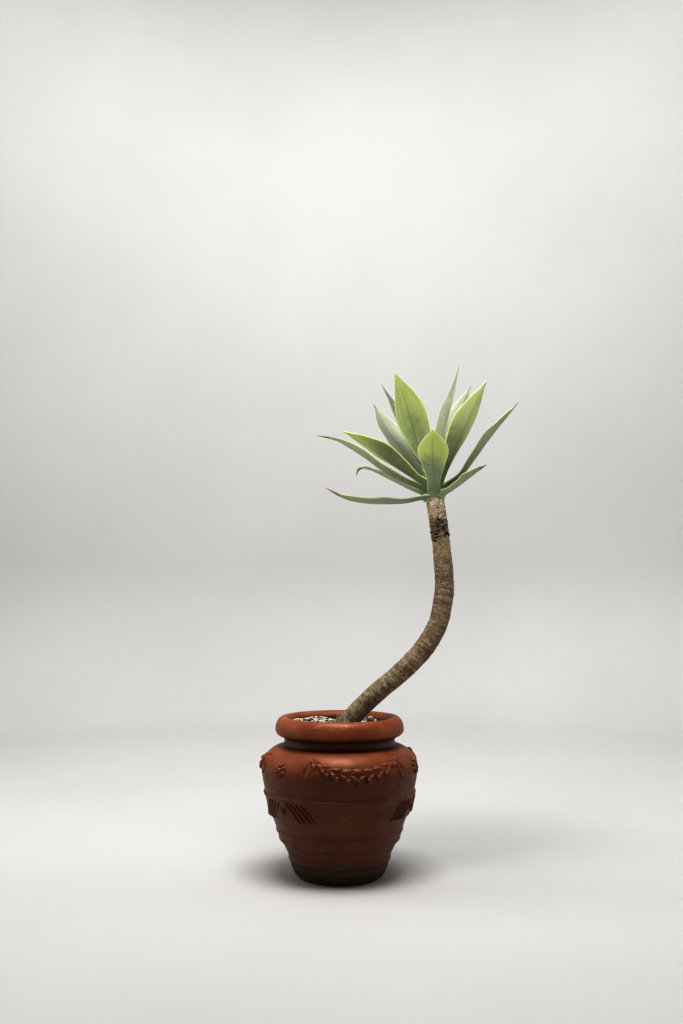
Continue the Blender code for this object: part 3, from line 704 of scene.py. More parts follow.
def ridge_heights(u, v):
    """Slanting ridges on both sides of a dimpled boss, in the raised band."""
    middle = (RIDGE_TOP + RIDGE_BOTTOM) / 2
    boss = np.hypot(u / 0.8, v - middle)
    forms = [half_round(boss, RIDGE_BOSS, RIDGE_BOSS_RISE) - 0.0014 * np.exp(-((boss / 0.0016) ** 2))]
    for side in (-1, 1):
        for ridge in range(RIDGES):
            start = side * radians(RIDGE_FIRST_DEGREES + RIDGE_PITCH_DEGREES * ridge) * BELLY_RADIUS
            end = start + side * RIDGE_SLANT * BELLY_RADIUS
            halfway = (start + end) / 2
            places = ((start, RIDGE_TOP), (halfway, middle), (end, RIDGE_BOTTOM))
            line = [(*place, half) for place, half in zip(places, RIDGE_HALF_WIDTHS)]
            forms.append(strip(u, v, line, RIDGE_RISE, 0, 1.5))
    return np.maximum.reduce(forms)


def relief(name, angle, half_width, low, high, heights, material):
    """A closed patch on the wall: its face has the given heights, and its back lies in the wall."""
    columns = int(2 * half_width / RELIEF_STEP) + 1
    rows = int((high - low) / RELIEF_STEP) + 1
    u, v = np.meshgrid(np.linspace(-half_width, half_width, columns), np.linspace(low, high, rows))
    rise = heights(u, v)
    cell = np.maximum.reduce([rise[:-1, :-1], rise[1:, :-1], rise[:-1, 1:], rise[1:, 1:]]) > RELIEF_ROOT
    turn = angle + u / BELLY_RADIUS
    slope = (pot_radius(v + 0.001) - pot_radius(v - 0.001)) / 0.002
    size = np.sqrt(1 + slope**2)
    sheets = []
    for lift in (rise, np.full(rise.shape, RELIEF_BACK)):
        out = pot_radius(v) + lift / size
        up = v - lift * slope / size
        sheets.append(np.stack([out * np.sin(turn), -out * np.cos(turn), up], -1).reshape(-1, 3))
    count = rows * columns
    faces = []
    for row, column in zip(*np.nonzero(cell)):
        a = int(row) * columns + int(column)
        corners = (a, a + 1, a + columns + 1, a + columns)
        faces += [corners, tuple(count + c for c in reversed(corners))]
        for dr, dc, first, second in ((-1, 0, 0, 1), (0, 1, 1, 2), (1, 0, 2, 3), (0, -1, 3, 0)):
            r, c = row + dr, column + dc
            if not (0 <= r < rows - 1 and 0 <= c < columns - 1 and cell[r, c]):
                a, b = corners[first], corners[second]
                faces.append((b, a, count + a, count + b))
    used = sorted({c for face in faces for c in face})
    order = {c: i for i, c in enumerate(used)}
    faces = [tuple(order[c] for c in face) for face in faces]
    piece(name, np.concatenate(sheets)[used], faces, material, "terracotta", sharp=60)


def make_reliefs(material):
    """Patches by angle from a repeat's start, half width, lowest and highest point, and form."""
    beside = SWAG_MIDDLE + ROSETTE_OFFSET
    patches = (
        ("swag", SWAG_MIDDLE, radians(44) * BELLY_RADIUS, 0.186, 0.244, swag_heights),
        ("rosette", beside, 0.016, 0.1945, 0.2275, rosette_heights),
        ("ridges", beside, radians(33) * BELLY_RADIUS, 0.1165, 0.1555, ridge_heights),
    )
    for repeat, start in enumerate(turns(REPEATS)):
        for name, angle, half_width, low, high, heights in patches:
            relief(f"{name}_{repeat}", start + angle, half_width, low, high, heights, material)


# Soil and top dressing


def stem_at(height):
    """The stem's centre where it passes a height."""
    rows = curve_points([(*place, radius) for place, radius in STEM], np.linspace(0, 1, 200))
    return [float(np.interp(height, rows[:, 2], rows[:, k])) for k in (0, 1)]


STEM_FOOT = stem_at(SOIL_TOP)


def heaped(x, y):
    """How high the heaps stand over the plain bed."""
    total = 0.0
    for heap_x, heap_y, spread, height in HEAPS:
        total += height * exp(-(((x - heap_x) ** 2 + (y - heap_y) ** 2) / spread**2))
    return total


def soil_height(x, y):
    """The soil's surface: crumbs, low lumps, heaps, and a rise towards the stem."""
    near = hypot(x - STEM_FOOT[0], y - STEM_FOOT[1])
    heap = 0.0028 * exp(-((near / 0.032) ** 2)) + SOIL_IN_HEAPS * heaped(x, y)
    lumps = 0.0013 * wander(x, y, 0, 45, 2.0)
    crumbs = 0.0009 * abs(wander(x, y, 0, 230, 7.0)) + 0.0005 * wander(x, y, 0, 520, 3.0)
    return SOIL_TOP + heap + lumps + crumbs


def make_soil(material):
    """A disc of rings from the middle to the wall, sides down the wall, and a flat underside."""
    inner = rounded([rim_outline()[0], *INNER_OUTLINE, (0.0, POT_FLOOR)])
    radii, heights = zip(*reversed(inner))
    edge = float(np.interp(SOIL_TOP, heights, radii)) - 2 * GAP
    verts = [(0, 0, soil_height(0, 0))]
    for reach in np.linspace(0, edge, SOIL_RINGS + 1)[1:]:
        settle = smoothstep((edge - reach) / SOIL_SETTLE)
        for angle in turns(SOIL_SEGMENTS):
            x, y = reach * cos(angle), reach * sin(angle)
            low = SOIL_TOP - 0.0008 + SOIL_IN_HEAPS * heaped(x, y)
            verts.append((x, y, low + (soil_height(x, y) - low) * settle))
    below = [(r - 2 * GAP, z) for r, z in inner if POT_FLOOR + GAP < z < SOIL_TOP - 0.002]
    for reach, height in below:
        for angle in turns(SOIL_SEGMENTS):
            verts.append(on_circle(reach, angle, height))
    bottom = len(verts)
    last = bottom - SOIL_SEGMENTS
    verts.append((0, 0, POT_FLOOR + GAP))
    faces = grid_faces(SOIL_RINGS + len(below), SOIL_SEGMENTS, 1, closed=True, flip=True)
    for step in range(SOIL_SEGMENTS):
        after = (step + 1) % SOIL_SEGMENTS
        faces += [(0, 1 + step, 1 + after), (bottom, last + after, last + step)]
    piece("soil_bed", verts, faces, material, "soil", "soil")


def chip(draw, size):
    """An angular stone: a ball stretched at random and cut flat on random sides."""
    shape = bmesh.new()
    bmesh.ops.create_icosphere(shape, subdivisions=2, radius=1.0)
    points = np.array([v.co for v in shape.verts])
    faces = [[v.index for v in f.verts] for f in shape.faces]
    shape.free()
    for _ in range(CHIP_FACETS):
        side = np.array([draw.gauss(0, 1) for _ in range(3)])
        side /= np.linalg.norm(side)
        over = points @ side - draw.uniform(0.45, 0.85)
        points -= np.outer(np.clip(over, 0, None), side)
    points *= np.array([1.0, draw.uniform(0.6, 0.9), draw.uniform(0.45, 0.75)]) * size
    turn = Matrix.Rotation(draw.uniform(0, tau), 3, "Z") @ Matrix.Rotation(draw.gauss(0, 0.35), 3, "X")
    return points @ np.array(turn.transposed()), faces


def chip_spot(draw, attempt):
    """Where a chip falls and its size: every other one on a heap, the rest anywhere in the pot."""
    if attempt < len(BIG_STONES):
        return BIG_STONES[attempt]
    reach = (GRAVEL_REACH - 0.003) * sqrt(draw.random())
    angle = draw.uniform(0, tau)
    x, y = reach * cos(angle), reach * sin(angle)
    if attempt % 2:
        heap_x, heap_y, spread, _ = HEAPS[attempt // 2 % len(HEAPS)]
        x, y = draw.gauss(heap_x, 0.6 * spread), draw.gauss(heap_y, 0.6 * spread)
    return x, y, CHIP_SMALL + (CHIP_LARGE - CHIP_SMALL) * draw.random() ** 1.6


def spot_is_free(x, y, size):
    """Inside the pot, clear of the stem, and not in a gap of the dressing."""
    stretched = hypot((x - STEM_FOOT[0]) / 1.4, y - STEM_FOOT[1])
    inside = hypot(x, y) <= GRAVEL_REACH - 0.0025 and stretched >= STEM_CLEARANCE + size
    return inside and wander(x, y, 0, 40, 4.0) <= 0.02 + 14 * heaped(x, y)


def make_gravel(material):
    """Pale stone chips, dropped one by one on the soil and on each other."""
    draw = random.Random(23)
    middles = (np.arange(PILE_CELLS) + 0.5) / PILE_CELLS * 2 * GRAVEL_REACH - GRAVEL_REACH
    across, deep = np.meshgrid(middles, middles, indexing="ij")
    pile = np.array([[soil_height(x, y) for y in middles] for x in middles])
    verts, faces, tones = [], [], []
    count = 0
    for attempt in range(CHIP_TRIES):
        if count >= CHIPS:
            break
        x, y, size = chip_spot(draw, attempt)
        if attempt >= len(BIG_STONES) and not spot_is_free(x, y, size):
            continue
        under = (across - x) ** 2 + (deep - y) ** 2 < (0.8 * size) ** 2
        points, stone_faces = chip(draw, size)
        level = pile[under].mean() - points[:, 2].min() - CHIP_SUNK * size
        top = level + points[:, 2].max()
        if top > min(SOIL_TOP + DRESSING + heaped(x, y), GRAVEL_LIMIT) + 0.3 * size:
            continue
        pile[under] = np.maximum(pile[under], top - 0.3 * size)
        count += 1
        start = len(verts)
        verts.extend(points + np.array([x, y, level]))
        faces.extend([tuple(start + i for i in face) for face in stone_faces])
        tones.extend([(draw.random(), draw.random(), draw.random())] * len(points))
    piece("gravel_chips", verts, faces, material, "gravel", "gravel", sharp=28, tone=tones)


# Stem


def stem_frames(stations):
    """Along the stem: place, radius, two directions across it and the length so far."""
    rows = curve_points([(*place, radius) for place, radius in STEM], np.linspace(0, 1, stations))
    cap = [(CROWN_X, CROWN_Y, z, r) for z, r in CROWN[1:]]
    cap = curve_points([tuple(rows[-1]), *cap], np.linspace(0, 1, stations // 8))[1:]
    rows = np.concatenate([rows, cap])
    run = np.gradient(rows[:, :3], axis=0)
    run /= np.linalg.norm(run, axis=1)[:, None]
    aside = np.cross(np.array([0.0, 1.0, 0.0]), run)
    aside /= np.linalg.norm(aside, axis=1)[:, None]
    return rows[:, :3], rows[:, 3], aside, np.cross(run, aside), run_length(rows[:, :3])


def bark_rise(angle, along, height):
    """The bark's relief: crowded ring scars, lumps, and a rougher stretch under the crown."""

    def rough(reach, at, scale, seed):
        return wander(cos(angle) * reach, sin(angle) * reach, at, scale, seed)

    tilt = along + 0.0016 * sin(angle + along * 23) + 0.0012 * rough(0.018, along, 60, 4.0)
    rings = rough(0.013, tilt, 125, 1.0)
    lines = 1 - abs(rough(0.008, tilt, 190, 9.0))
    lumps = rough(0.018, along * 0.6, 38, 3.0)
    grain = rough(0.018, along, 380, 5.0)
    pocks = rough(0.018, along, 150, 6.0)
    fresh = smoothstep((height - 0.59) / 0.06)
    crown = smoothstep((height - 0.712) / 0.01)
    ringed = 0.00055 * rings - 0.00035 * lines**8 + 0.0013 * lumps + 0.00034 * grain + 0.00048 * pocks
    return (ringed + (0.00075 * pocks + 0.0003 * grain) * fresh) * (1 - crown)


def make_stem(material):
    frames = stem_frames(STEM_STATIONS)
    verts, straight = [], []
    for centre, radius, side, behind, along in zip(*frames):
        for angle in turns(STEM_SIDES):
            x, y = cos(angle), sin(angle)
            out = radius + bark_rise(angle, along, centre[2])
            verts.append(centre + out * (x * side + y * behind))
            straight.append((radius * x, radius * y, along))
    faces = tube_faces(len(frames[0]), STEM_SIDES)
    piece("stem_bark", verts, faces, material, "bark", "stem", straight=straight)


def make_scales(material):
    """Torn remains of old leaf bases, pressed to the stem under the crown."""
    draw = random.Random(5)
    centres, radii, aside, back, _ = stem_frames(400)
    verts, faces, tones = [], [], []
    rows, columns = 6, 7
    for scale in range(SCALE_ROWS * SCALES_A_ROW):
        ring, place = divmod(scale, SCALES_A_ROW)
        height = SCALE_LOW + (SCALE_HIGH - SCALE_LOW) * (ring + draw.uniform(0, 1)) / SCALE_ROWS
        at = int(np.argmin(np.abs(centres[:, 2] - height)))
        run = np.cross(aside[at], back[at])
        spin = tau * (place + 0.5 * (ring % 2) + draw.uniform(-0.3, 0.3)) / SCALES_A_ROW
        half_turn = draw.uniform(0.2, 0.46)
        tall = draw.uniform(0.004, 0.0092)
        lift = draw.uniform(0.001, 0.0029)
        dark = smoothstep((DARK_TOP - height) / DARK_FADE) > draw.uniform(0.1, 0.95)
        faces += shell_faces(rows, columns, len(verts))
        for thick in (0.0, SCALE_THICK):
            for up in np.linspace(0, 1, rows):
                for across in np.linspace(-1, 1, columns):
                    fray = 0.001 * wander(across, scale, up, 2.7, 8.0) * up
                    angle = spin + half_turn * across * (1 - 0.35 * up**2)
                    out = radii[at] - 0.0012 + lift * up**1.4 + thick + 0.0005 * across**2 * up
                    z = (up - 0.3) * tall * (1 - 0.35 * across**2) + fray
                    side = cos(angle) * aside[at] + sin(angle) * back[at]
                    verts.append(centres[at] + side * out + run * z)
        tones.extend([(0.0 if dark else 1.0, draw.random(), draw.random())] * (2 * rows * columns))
    piece("stem_scales", verts, faces, material, "bark", tone=tones)


def twig(verts, faces, points, radii):
    """Adds a thin closed tube through the points."""
    rows = curve_points([(*p, r) for p, r in zip(points, radii)], np.linspace(0, 1, TWIG_STATIONS))
    faces += tube_faces(TWIG_STATIONS, TWIG_SIDES, len(verts))
    for (x, y, z, radius), ahead in zip(rows, np.gradient(rows[:, :3], axis=0)):
        ahead = Vector(ahead).normalized()
        side = ahead.orthogonal().normalized()
        if side.x < 0:
            side = -side
        over = ahead.cross(side)
        for angle in turns(TWIG_SIDES):
            verts.append(Vector((x, y, z)) + float(radius) * (cos(angle) * side + sin(angle) * over))


def make_spurs(material):
    """Dry root stubs on the stem's outer bend."""
    verts, faces = [], []
    for x, z, out_x, out_z, size in SPURS:
        root = Vector((x - SPUR_ROOTED * out_x, 0.0, z - SPUR_ROOTED * out_z))
        tip = Vector((x + size * out_x, -0.0016, z + size * out_z))
        bend = (root + tip) / 2 + Vector((0.0007, -0.0004, -0.001))
        hook = tip + Vector((0.0012, -0.0003, 0.0012))
        twig(verts, faces, [root, bend, tip, hook], [0.0014, 0.001, 0.0006, 0.0003])
    piece("stem_spurs", verts, faces, material, "bark")


def make_rootlets(material):
    """Dry rootlets that stand in the soil beside the stem's foot."""
    draw = random.Random(31)
    verts, faces = [], []
    for _ in range(ROOTLETS):
        around = radians(draw.gauss(-82, 26))
        x = STEM_FOOT[0] + 0.0275 * cos(around) + 0.002
        y = STEM_FOOT[1] + 0.0205 * sin(around)
        start = Vector((x, y, SOIL_TOP - 0.003))
        rise = draw.uniform(0.018, 0.041)
        end = start + Vector((draw.uniform(-0.004, 0.008), draw.uniform(0.0, 0.004), rise))
        sway = Vector((draw.uniform(-0.004, 0.002), draw.uniform(-0.004, 0.004), 0))
        thick = draw.uniform(0.0006, 0.0012)
        points = [start, start.lerp(end, 0.35) + sway, start.lerp(end, 0.7) + sway * 0.6, end]
        twig(verts, faces, points, [thick, thick, thick * 0.7, thick * 0.3])
    piece("rootlets", verts, faces, material, "bark")


# Leaves


def crown_radius(height):
    return float(np.interp(height, *zip(*CROWN)))


def blade_frames(azimuth, spine, shares, roll):
    """Place, side and upward directions along a leaf's spine."""
    angle = radians(azimuth)
    away = Vector((cos(angle), sin(angle), 0))
    aside = Vector((-sin(angle), cos(angle), 0))
    places = []
    for reach, height, *sideways in spine:
        places.append(Vector((CROWN_X, CROWN_Y, height)) + away * reach + aside * sum(sideways))
    fine = 0.01
    along = curve_points(places, shares)
    ahead = curve_points(places, [min(s + fine, 1.0) for s in shares])
    behind = curve_points(places, [max(s - fine, 0.0) for s in shares])
    frames = []
    for share, here, front, back in zip(shares, along, ahead, behind):
        run = Vector(front - back).normalized()
        side = (aside - run * aside.dot(run)).normalized()
        turn = Matrix.Rotation(radians(roll) * min(share / 0.5, 1.0), 3, run)
        frames.append((Vector(here), turn @ side, turn @ run.cross(side)))
    return frames


def blade_half_width(share, base_half, width, widest):
    """Half the blade's width, from the solid's outline with its corners rounded off."""
    shift = log(0.5) / log(widest)
    shares = [0.0, BASE_END, *[at for at, _ in BLADE_OUTLINE]]
    halves = [base_half, base_half, *[width / 2 * part for _, part in BLADE_OUTLINE]]
    total = 0.0
    for offset, weight in ((-0.05, 1), (-0.025, 2), (0, 3), (0.025, 2), (0.05, 1)):
        at = min(max(share + offset * min(share, 1 - share) * 4, 0.0), 1.0)
        total += weight / 9 * float(np.interp(at**shift, shares, halves))
    return total


def clasp_point(azimuth, base, share, across, out):
    """A point of the leaf's base where it wraps round the crown."""
    height = base - CLASP_DROP * (1 - across**2) ** 0.5 + share * CLASP_RISE + 0.004 * across**2
    angle = radians(azimuth) + across * CLASP_TURN
    radius = crown_radius(height) + 0.0008 + out
    return on_circle(radius, angle, height, CROWN_X, CROWN_Y)


def make_leaf(name, azimuth, base, width, widest, channel, roll, beyond, material):
    """A channelled blade whose base clasps the crown, with gently waved margins."""
    draw = random.Random(name)
    wave = draw.uniform(0.0006, 0.0014)
    waves = draw.uniform(2.2, 3.6)
    phase = draw.uniform(0, tau)
    base_half = crown_radius(base) * BASE_CLASP
    spine = ((crown_radius(base) + LEAF_SEAT, base), *beyond)
    shares = [(row / (BLADE_ROWS - 1)) ** 0.92 for row in range(BLADE_ROWS)]
    columns = np.sin(np.linspace(-0.5, 0.5, BLADE_COLUMNS) * pi)
    sheets, marks = ([], []), ([], [])
    for share, (place, side, up) in zip(shares, blade_frames(azimuth, spine, shares, roll)):
        half = blade_half_width(share, base_half, width, widest)
        middle = float(np.interp(share, *zip(*BLADE_THICK)))
        edge = min(BLADE_EDGE, middle)
        free = float(smoothstep((share - 0.02) / CLASP_END))
        settle = sin(pi * min(max((share - 0.15) / 0.8, 0), 1))
        for across in columns:
            rise = half * channel * (0.55 * across**2 + 0.45 * sqrt(across**2 + 0.004))
            turn = waves * tau * share + phase + (across > 0) * 1.3
            ripple = wave * settle * abs(across) ** 3 * sin(turn)
            top = place + side * (half * across) + up * (rise + ripple)
            bottom = top - up * (edge + (middle - edge) * (1 - across**2))
            inner = clasp_point(azimuth, base, share, across, 0.0)
            outer = clasp_point(azimuth, base, share, across, 0.0004 + 0.003 * (1 - across**2))
            sheets[0].append(inner.lerp(top, free))
            sheets[1].append(outer.lerp(bottom, free))
            marks[0].append((across, share, 0.0))
            marks[1].append((across, share, 1.0))
    faces = shell_faces(BLADE_ROWS, BLADE_COLUMNS)
    piece(name + "_blade", sheets[0] + sheets[1], faces, material, "leaf", name, blade=marks[0] + marks[1])


def make_spear(material):
    """The furled bud in the middle of the crown: rolled leaves whose edges wind up round it."""
    bottom = CROWN[-1][0] - 0.004
    verts, marks = [], []
    for row in range(SPEAR_ROWS):
        share = row / (SPEAR_ROWS - 1)
        height = bottom + (SPEAR_TOP - bottom) * share
        radius = SPEAR_RADIUS * float(np.interp(share, *zip(*SPEAR_OUTLINE)))
        for step in range(SPEAR_SIDES):
            wound = (step / SPEAR_SIDES * 2 + share * 1.4) % 1
            out = radius * (0.9 + 0.16 * wound * smoothstep((1 - wound) / 0.06))
            angle = tau * step / SPEAR_SIDES
            verts.append(on_circle(out, angle, height, CROWN_X, CROWN_Y))
            marks.append((2 * wound - 1, share, 1.0))
    faces = tube_faces(SPEAR_ROWS, SPEAR_SIDES)
    piece("leaf_spear_bud", verts, faces, material, "bud", "leaf_spear", blade=marks)


# Materials


def terracotta():
    """Fired red clay: burnished, cloudy, with painted light on the shoulder and rim, painted shade on the
    lower body and round the neck, a darker foot, lime bloom and throwing lines.
    """
    look = Look("terracotta", 0.5, Specular_IOR_Level=0.8, Specular_Tint=(1.0, 0.62, 0.42, 1.0))
    place = look.place
    x, y, z = place.split()
    clouds = place.noise(13, 5, 0.6, 0.4)
    fine = place.noise(160, 4, 0.6).step(0.25, 0.75, 0, 0.35)
    # Painted light and shade: the clay is darker on the lower body and lighter on the shoulder and rim, as
    # light from above falls
    painted_light_by_height = (clouds * 0.03 + z).step(0.205, 0.262).mix((0.62, 0.57, 0.52), (1.62, 1.66, 1.72))
    lime = place.scaled(1, 1, 2.4).noise(34, 6, 0.68, 0.8).step(0.54, 0.72)
    damp = (place.noise(26, 4, 0.6) * -0.06 + z).step(0.045, -0.035)
    specks = place.cells(260).step(0.12, 0.05)
    pits = place.scaled(1.1, 0.9, 1.0).cells(175).step(0.14, 0.04)
    inside = (x * x + y * y).math("SQRT").step(0.1, 0.0955) * z.step(0.2945, 0.286)
    colour = clouds.step(0.35, 0.68).mix((0.108, 0.0245, 0.0068), (0.17, 0.0435, 0.0135))
    colour = colour.coats((fine, (0.092, 0.021, 0.006))).tinted(painted_light_by_height).coats(
        (z.band(*NECK_SHADE) * 0.84, (0.02, 0.0065, 0.0026)),
        (lime * (z.step(0.262, 0.292) * 0.22 + 0.1), (0.5, 0.3, 0.2)),
        (damp * 0.22, (0.06, 0.02, 0.01)),
        (specks * 0.22, (0.36, 0.2, 0.12)),
        (pits * 0.5, (0.07, 0.02, 0.009)),
        (inside * 0.88, (0.022, 0.012, 0.007)),
    )
    thrown = place.scaled(1.2, 1.2, 210).noise(3.0, 3, 0.6)
    height = thrown * 0.55 + place.noise(900, 4, 0.7) * 0.45 - pits * 0.8
    return look.finish(colour, place.noise(55).step(0.3, 0.7, 0.45, 0.58), height, 0.0004, 0.5)


def potting_soil():
    """Dark crumbs, with fibres and pale grit."""
    look = Look("soil", 0.95)
    place = look.place
    lumps = place.noise(120, 6, 0.7)
    colour = lumps.step(0.3, 0.7).mix((0.012, 0.008, 0.006), (0.06, 0.04, 0.027)).coats(
        (place.scaled(260, 900, 400).noise(1.0, 3, 0.6, 1.5).step(0.66, 0.74, 0, 0.7), (0.155, 0.095, 0.055)),
        (place.cells(330).step(0.16, 0.1) * 0.55, (0.42, 0.37, 0.3)),
    )
    return look.finish(colour, None, place.noise(420, 6, 0.75) + lumps * 0.7, 0.0012, 0.9)


def stone():
    """Pale chips, each with its own tone, veined and dusty, and dark crumbs among them."""
    look = Look("gravel", 0.8)
    first, second, third = look.attribute("tone").split()
    veins = look.place.noise(240, 6, 0.7, 1.2)
    dust = look.place.noise(520, 4, 0.7).step(0.55, 0.75, 0, 0.28)
    colour = first.mix((0.64, 0.6, 0.53), (0.49, 0.42, 0.33)).coats(
        (second.step(0.82, 0.92), (0.48, 0.4, 0.31)),
        (second.step(0.14, 0.04), (0.86, 0.85, 0.82)),
        (veins.step(0.52, 0.72, 0, 0.35), (0.52, 0.41, 0.28)),
        (dust, (0.2, 0.15, 0.1)),
        (third.step(0.58, 0.62), (0.05, 0.036, 0.026)),
    )
    return look.finish(colour, veins.step(0.3, 0.7, 0.62, 0.9), look.place.noise(1100, 5, 0.7), 0.0004, 0.7)


def bark():
    """Grey-tan bark with ring scars: olive low down, then reddish, netted, black-spotted, cream and green."""
    look = Look("bark", 0.86)
    straight = look.attribute("straight")
    _, _, z = look.place.split()
    rings = straight.scaled(25, 25, 165).noise(1.0, 5, 0.68, 0.9)
    fine = straight.scaled(170, 170, 430).noise(1.0, 5, 0.7, 0.6)
    patches = straight.scaled(1, 1, 0.7).noise(36, 5, 0.62, 0.8)
    blots = straight.noise(170, 5, 0.68, 0.7)
    warp = (straight.noise(90, 3, 0.6) * 0.035).scaled(1, -1, 1)
    net = straight.scaled(1, 1, 0.75).shifted(warp).cells(190, "DISTANCE_TO_EDGE").step(0.0, 0.25)
    cream = blots.step(0.42, 0.6).mix((0.74, 0.65, 0.49), (0.23, 0.15, 0.075))
    cream = cream.coats((rings.step(0.5, 0.42, 0, 0.7), (0.18, 0.115, 0.055)))
    band = (straight.noise(110, 3, 0.6) * 0.045 + z).band(*BLACK_STRETCH)
    spots = straight.scaled(1, 1, 1.4).noise(68, 5, 0.74, 1.4).step(0.512, 0.562)
    colour = patches.step(0.36, 0.64).mix((0.16, 0.11, 0.063), (0.318, 0.252, 0.168)).coats(
        (z.band(*RED_STRETCH) * 0.4, (0.285, 0.192, 0.118)),
        (z.step(0.46, 0.3) * patches.step(0.42, 0.62, 0, 0.55), (0.32, 0.28, 0.15)),
        (rings.step(0.5, 0.4, 0, 0.8), (0.11, 0.072, 0.038)),
        (rings.step(0.55, 0.66, 0, 0.58), (0.48, 0.415, 0.308)),
        (blots.step(0.52, 0.63, 0, 0.66), (0.082, 0.056, 0.029)),
        (blots.step(0.43, 0.34, 0, 0.55), (0.6, 0.52, 0.38)),
        (fine.step(0.53, 0.66, 0, 0.55), (0.078, 0.052, 0.028)),
        (z.band(*NETTED_STRETCH) * 0.56, net.mix((0.64, 0.52, 0.32), (0.17, 0.112, 0.055))),
        ((patches * 0.05 + z).step(*CREAM_START, 0, 0.95), cream),
        (band * 0.55, (0.2, 0.138, 0.075)),
        (band * spots, (0.018, 0.014, 0.01)),
        (straight.cells(150).step(0.11, 0.06) * 0.5, (0.78, 0.7, 0.54)),
        (z.step(*GREEN_START), (0.33, 0.38, 0.17)),
        (z.step(0.31, 0.278) * 0.55, (0.08, 0.062, 0.034)),
    )
    height = rings * 0.55 + fine * 0.3 + blots * 0.6
    return look.finish(colour, blots.step(0.3, 0.7, 0.92, 0.78), height, 0.0012, 0.9)


def husk():
    """Papery remains of leaf bases, pale or blackened."""
    look = Look("husk", 0.8)
    kind, tone, _ = look.attribute("tone").split()
    stain = look.place.noise(420, 4, 0.7).step(0.5, 0.68, 0, 0.85)
    pale = tone.mix((0.78, 0.69, 0.52), (0.56, 0.44, 0.28)).coats((stain, (0.24, 0.15, 0.08)))
    dark = tone.step(0.35, 0.75).mix((0.02, 0.016, 0.011), (0.19, 0.13, 0.07))
    return look.finish(kind.mix(dark, pale), None, look.place.noise(1300, 4, 0.7), 0.0004, 0.6)


def dry_twig():
    """Grey-tan, stained fibre."""
    look = Look("dry_twig", 0.85)
    colour = look.place.noise(260, 4, 0.65).step(0.35, 0.65).mix((0.24, 0.215, 0.14), (0.56, 0.52, 0.38))
    return look.finish(colour, None, look.place.noise(1500, 3, 0.7), 0.0004, 0.6)


def leaf_flesh(name, low, high, turn, width, lean, edges, tip, tip_from):
    """A succulent blade: bloom, long veins, a darker middle line of painted shade in its channel, pale
    margins, a tip of another colour and scars, with painted light along it and on its faces.
    """
    look = Look(name, 0.5, Specular_IOR_Level=0.4, Sheen_Weight=0.05, Sheen_Roughness=0.5,
                Subsurface_Weight=0.25, Subsurface_Radius=(0.55, 0.75, 0.15), Subsurface_Scale=0.006)
    look.shader.subsurface_method = "RANDOM_WALK"
    place, blade = look.place, look.attribute("blade")
    across, along, under = blade.split()
    side = across.math("ABSOLUTE")
    drift = place.noise(26, 4, 0.6, 0.3)
    at = drift * 0.2 + side**1.6 * edges + across * lean + along - 0.1
    veins = blade.scaled(26, 2.2, 1).noise(1.0, 4, 0.6)
    mottle = place.scaled(1, 1, 0.6).noise(48, 5, 0.66, 0.6).step(0.5, 0.66)
    bloom = place.noise(75, 5, 0.62, 0.4)
    middle = side.step(0.085, 0.0) * along.step(0.99, 0.8) * along.step(0.05, 0.35, 0.1, 0.75)
    margin = [0.55 * own + 0.45 * pale for own, pale in zip(high, PALE_MARGIN)]
    end = drift * 0.05 + along - 0.025
    scars = place.cells(85).step(0.06, 0.035) * place.noise(12, 2).step(0.52, 0.6, 0, 0.6)
    # Painted light: the lower colour turns into the upper one along the blade and down its margins; a lime,
    # straw or grass green upper part is the glow of light shining through it
    plain = at.step(turn - width, turn + width).mix(low, high)
    dark = plain.tinted((0.58, 0.64, 0.5))
    colour = plain.coats(
        (veins.step(0.4, 0.66, 0, 0.55), dark),
        (mottle * at.step(turn + width, turn - width, 0.15, 0.75), dark),
        (bloom.step(0.42, 0.74, 0, 0.2), (0.5, 0.55, 0.42)),
        # Painted shade in the channel down the middle of the blade
        (middle, dark),
        (along.step(0.26, 0.03, 0, 0.55), (0.13, 0.19, 0.085)),
        (along.step(0.035, 0.0, 0, 0.85), (0.43, 0.44, 0.27)),
        (side.step(0.9, 0.975, 0, 0.8), margin),
        (end.step(tip_from - 0.03, tip_from + 0.03), tip),
        (scars, (0.19, 0.15, 0.085)),
    # Painted light and shade on the faces: the upper face darkened, the underside lightened
    ).tinted(under.mix((0.79, 0.79, 0.8), (1.05, 1.04, 1.04)))
    height = veins * 0.6 + place.noise(420, 4, 0.6)
    return look.finish(colour, bloom.step(0.35, 0.7, 0.42, 0.6), height, 0.0004, 0.35)


# Stage, lights and camera


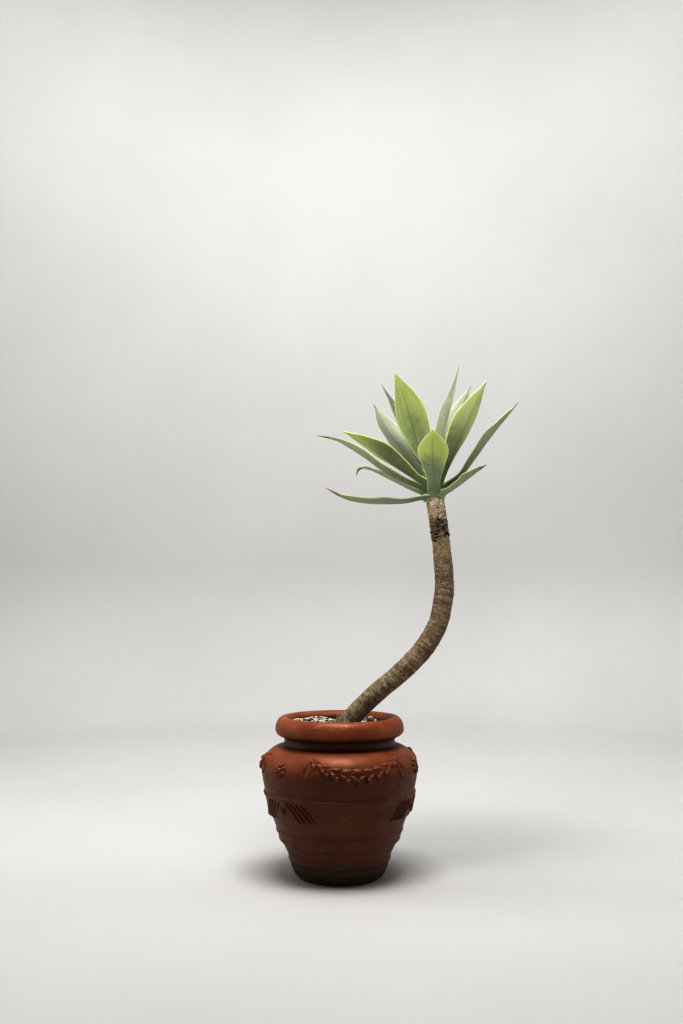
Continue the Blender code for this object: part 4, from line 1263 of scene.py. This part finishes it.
def make_stage():
    """A pale round room: a floor, and a wall that curves up from it."""
    look = Look("stage", 0.9)
    material = look.finish(look.place.noise(1.6, 3, 0.5).mix((0.47, 0.467, 0.46), (0.52, 0.517, 0.51)))
    flat = ROOM_RADIUS - ROOM_BEND
    quarter = np.linspace(0, pi / 2, 10)
    line = [(flat + ROOM_BEND * sin(a), ROOM_BEND - ROOM_BEND * cos(a)) for a in quarter]
    line.append((ROOM_RADIUS, ROOM_HEIGHT))
    verts = [on_circle(reach, angle, height) for reach, height in line for angle in turns(ROOM_SIDES)]
    faces = [tuple(range(ROOM_SIDES)), *grid_faces(len(line), ROOM_SIDES, closed=True, flip=True)]
    smooth_object("room", verts, faces, material)


def area_light(name, place, target, size, watts, colour, spread):
    light = bpy.data.lights.new(name, "AREA")
    light.shape = "RECTANGLE"
    light.size, light.size_y = size
    light.energy = watts
    light.color = colour
    light.spread = radians(spread)
    thing = bpy.data.objects.new(name, light)
    thing.location = place
    thing.rotation_euler = (Vector(target) - Vector(place)).to_track_quat("-Z", "Y").to_euler()
    thing.visible_camera = False
    bpy.context.scene.collection.objects.link(thing)


def make_lights():
    for name, *form in LIGHTS:
        area_light(name, *form)
    world = bpy.data.worlds.new("studio")
    world.use_nodes = True
    background = world.node_tree.nodes["Background"]
    background.inputs["Color"].default_value = SKY
    background.inputs["Strength"].default_value = SKY_STRENGTH
    bpy.context.scene.world = world


def make_camera():
    camera = bpy.data.cameras.new("camera")
    camera.lens = LENS
    camera.sensor_width = SENSOR
    camera.sensor_fit = "AUTO"
    thing = bpy.data.objects.new("camera", camera)
    thing.location = CAMERA_PLACE
    thing.rotation_euler = (radians(CAMERA_TILT), 0.0, 0.0)
    bpy.context.scene.collection.objects.link(thing)
    bpy.context.scene.camera = thing
    bpy.context.scene.view_settings.view_transform = "Standard"
    bpy.context.scene.view_settings.gamma = CONTRAST


def main():
    make_stage()
    make_lights()
    make_camera()
    clay = terracotta()
    make_pot(clay)
    make_reliefs(clay)
    make_soil(potting_soil())
    make_gravel(stone())
    make_stem(bark())
    make_scales(husk())
    twigs = dry_twig()
    make_spurs(twigs)
    make_rootlets(twigs)
    for name, *form, look in LEAVES:
        make_leaf(name, *form, leaf_flesh(name, *look))
    make_spear(leaf_flesh("leaf_spear", MOSS, SAGE, 0.4, 0.3, 0.0, 0.0, SAGE, 1.1))


main()
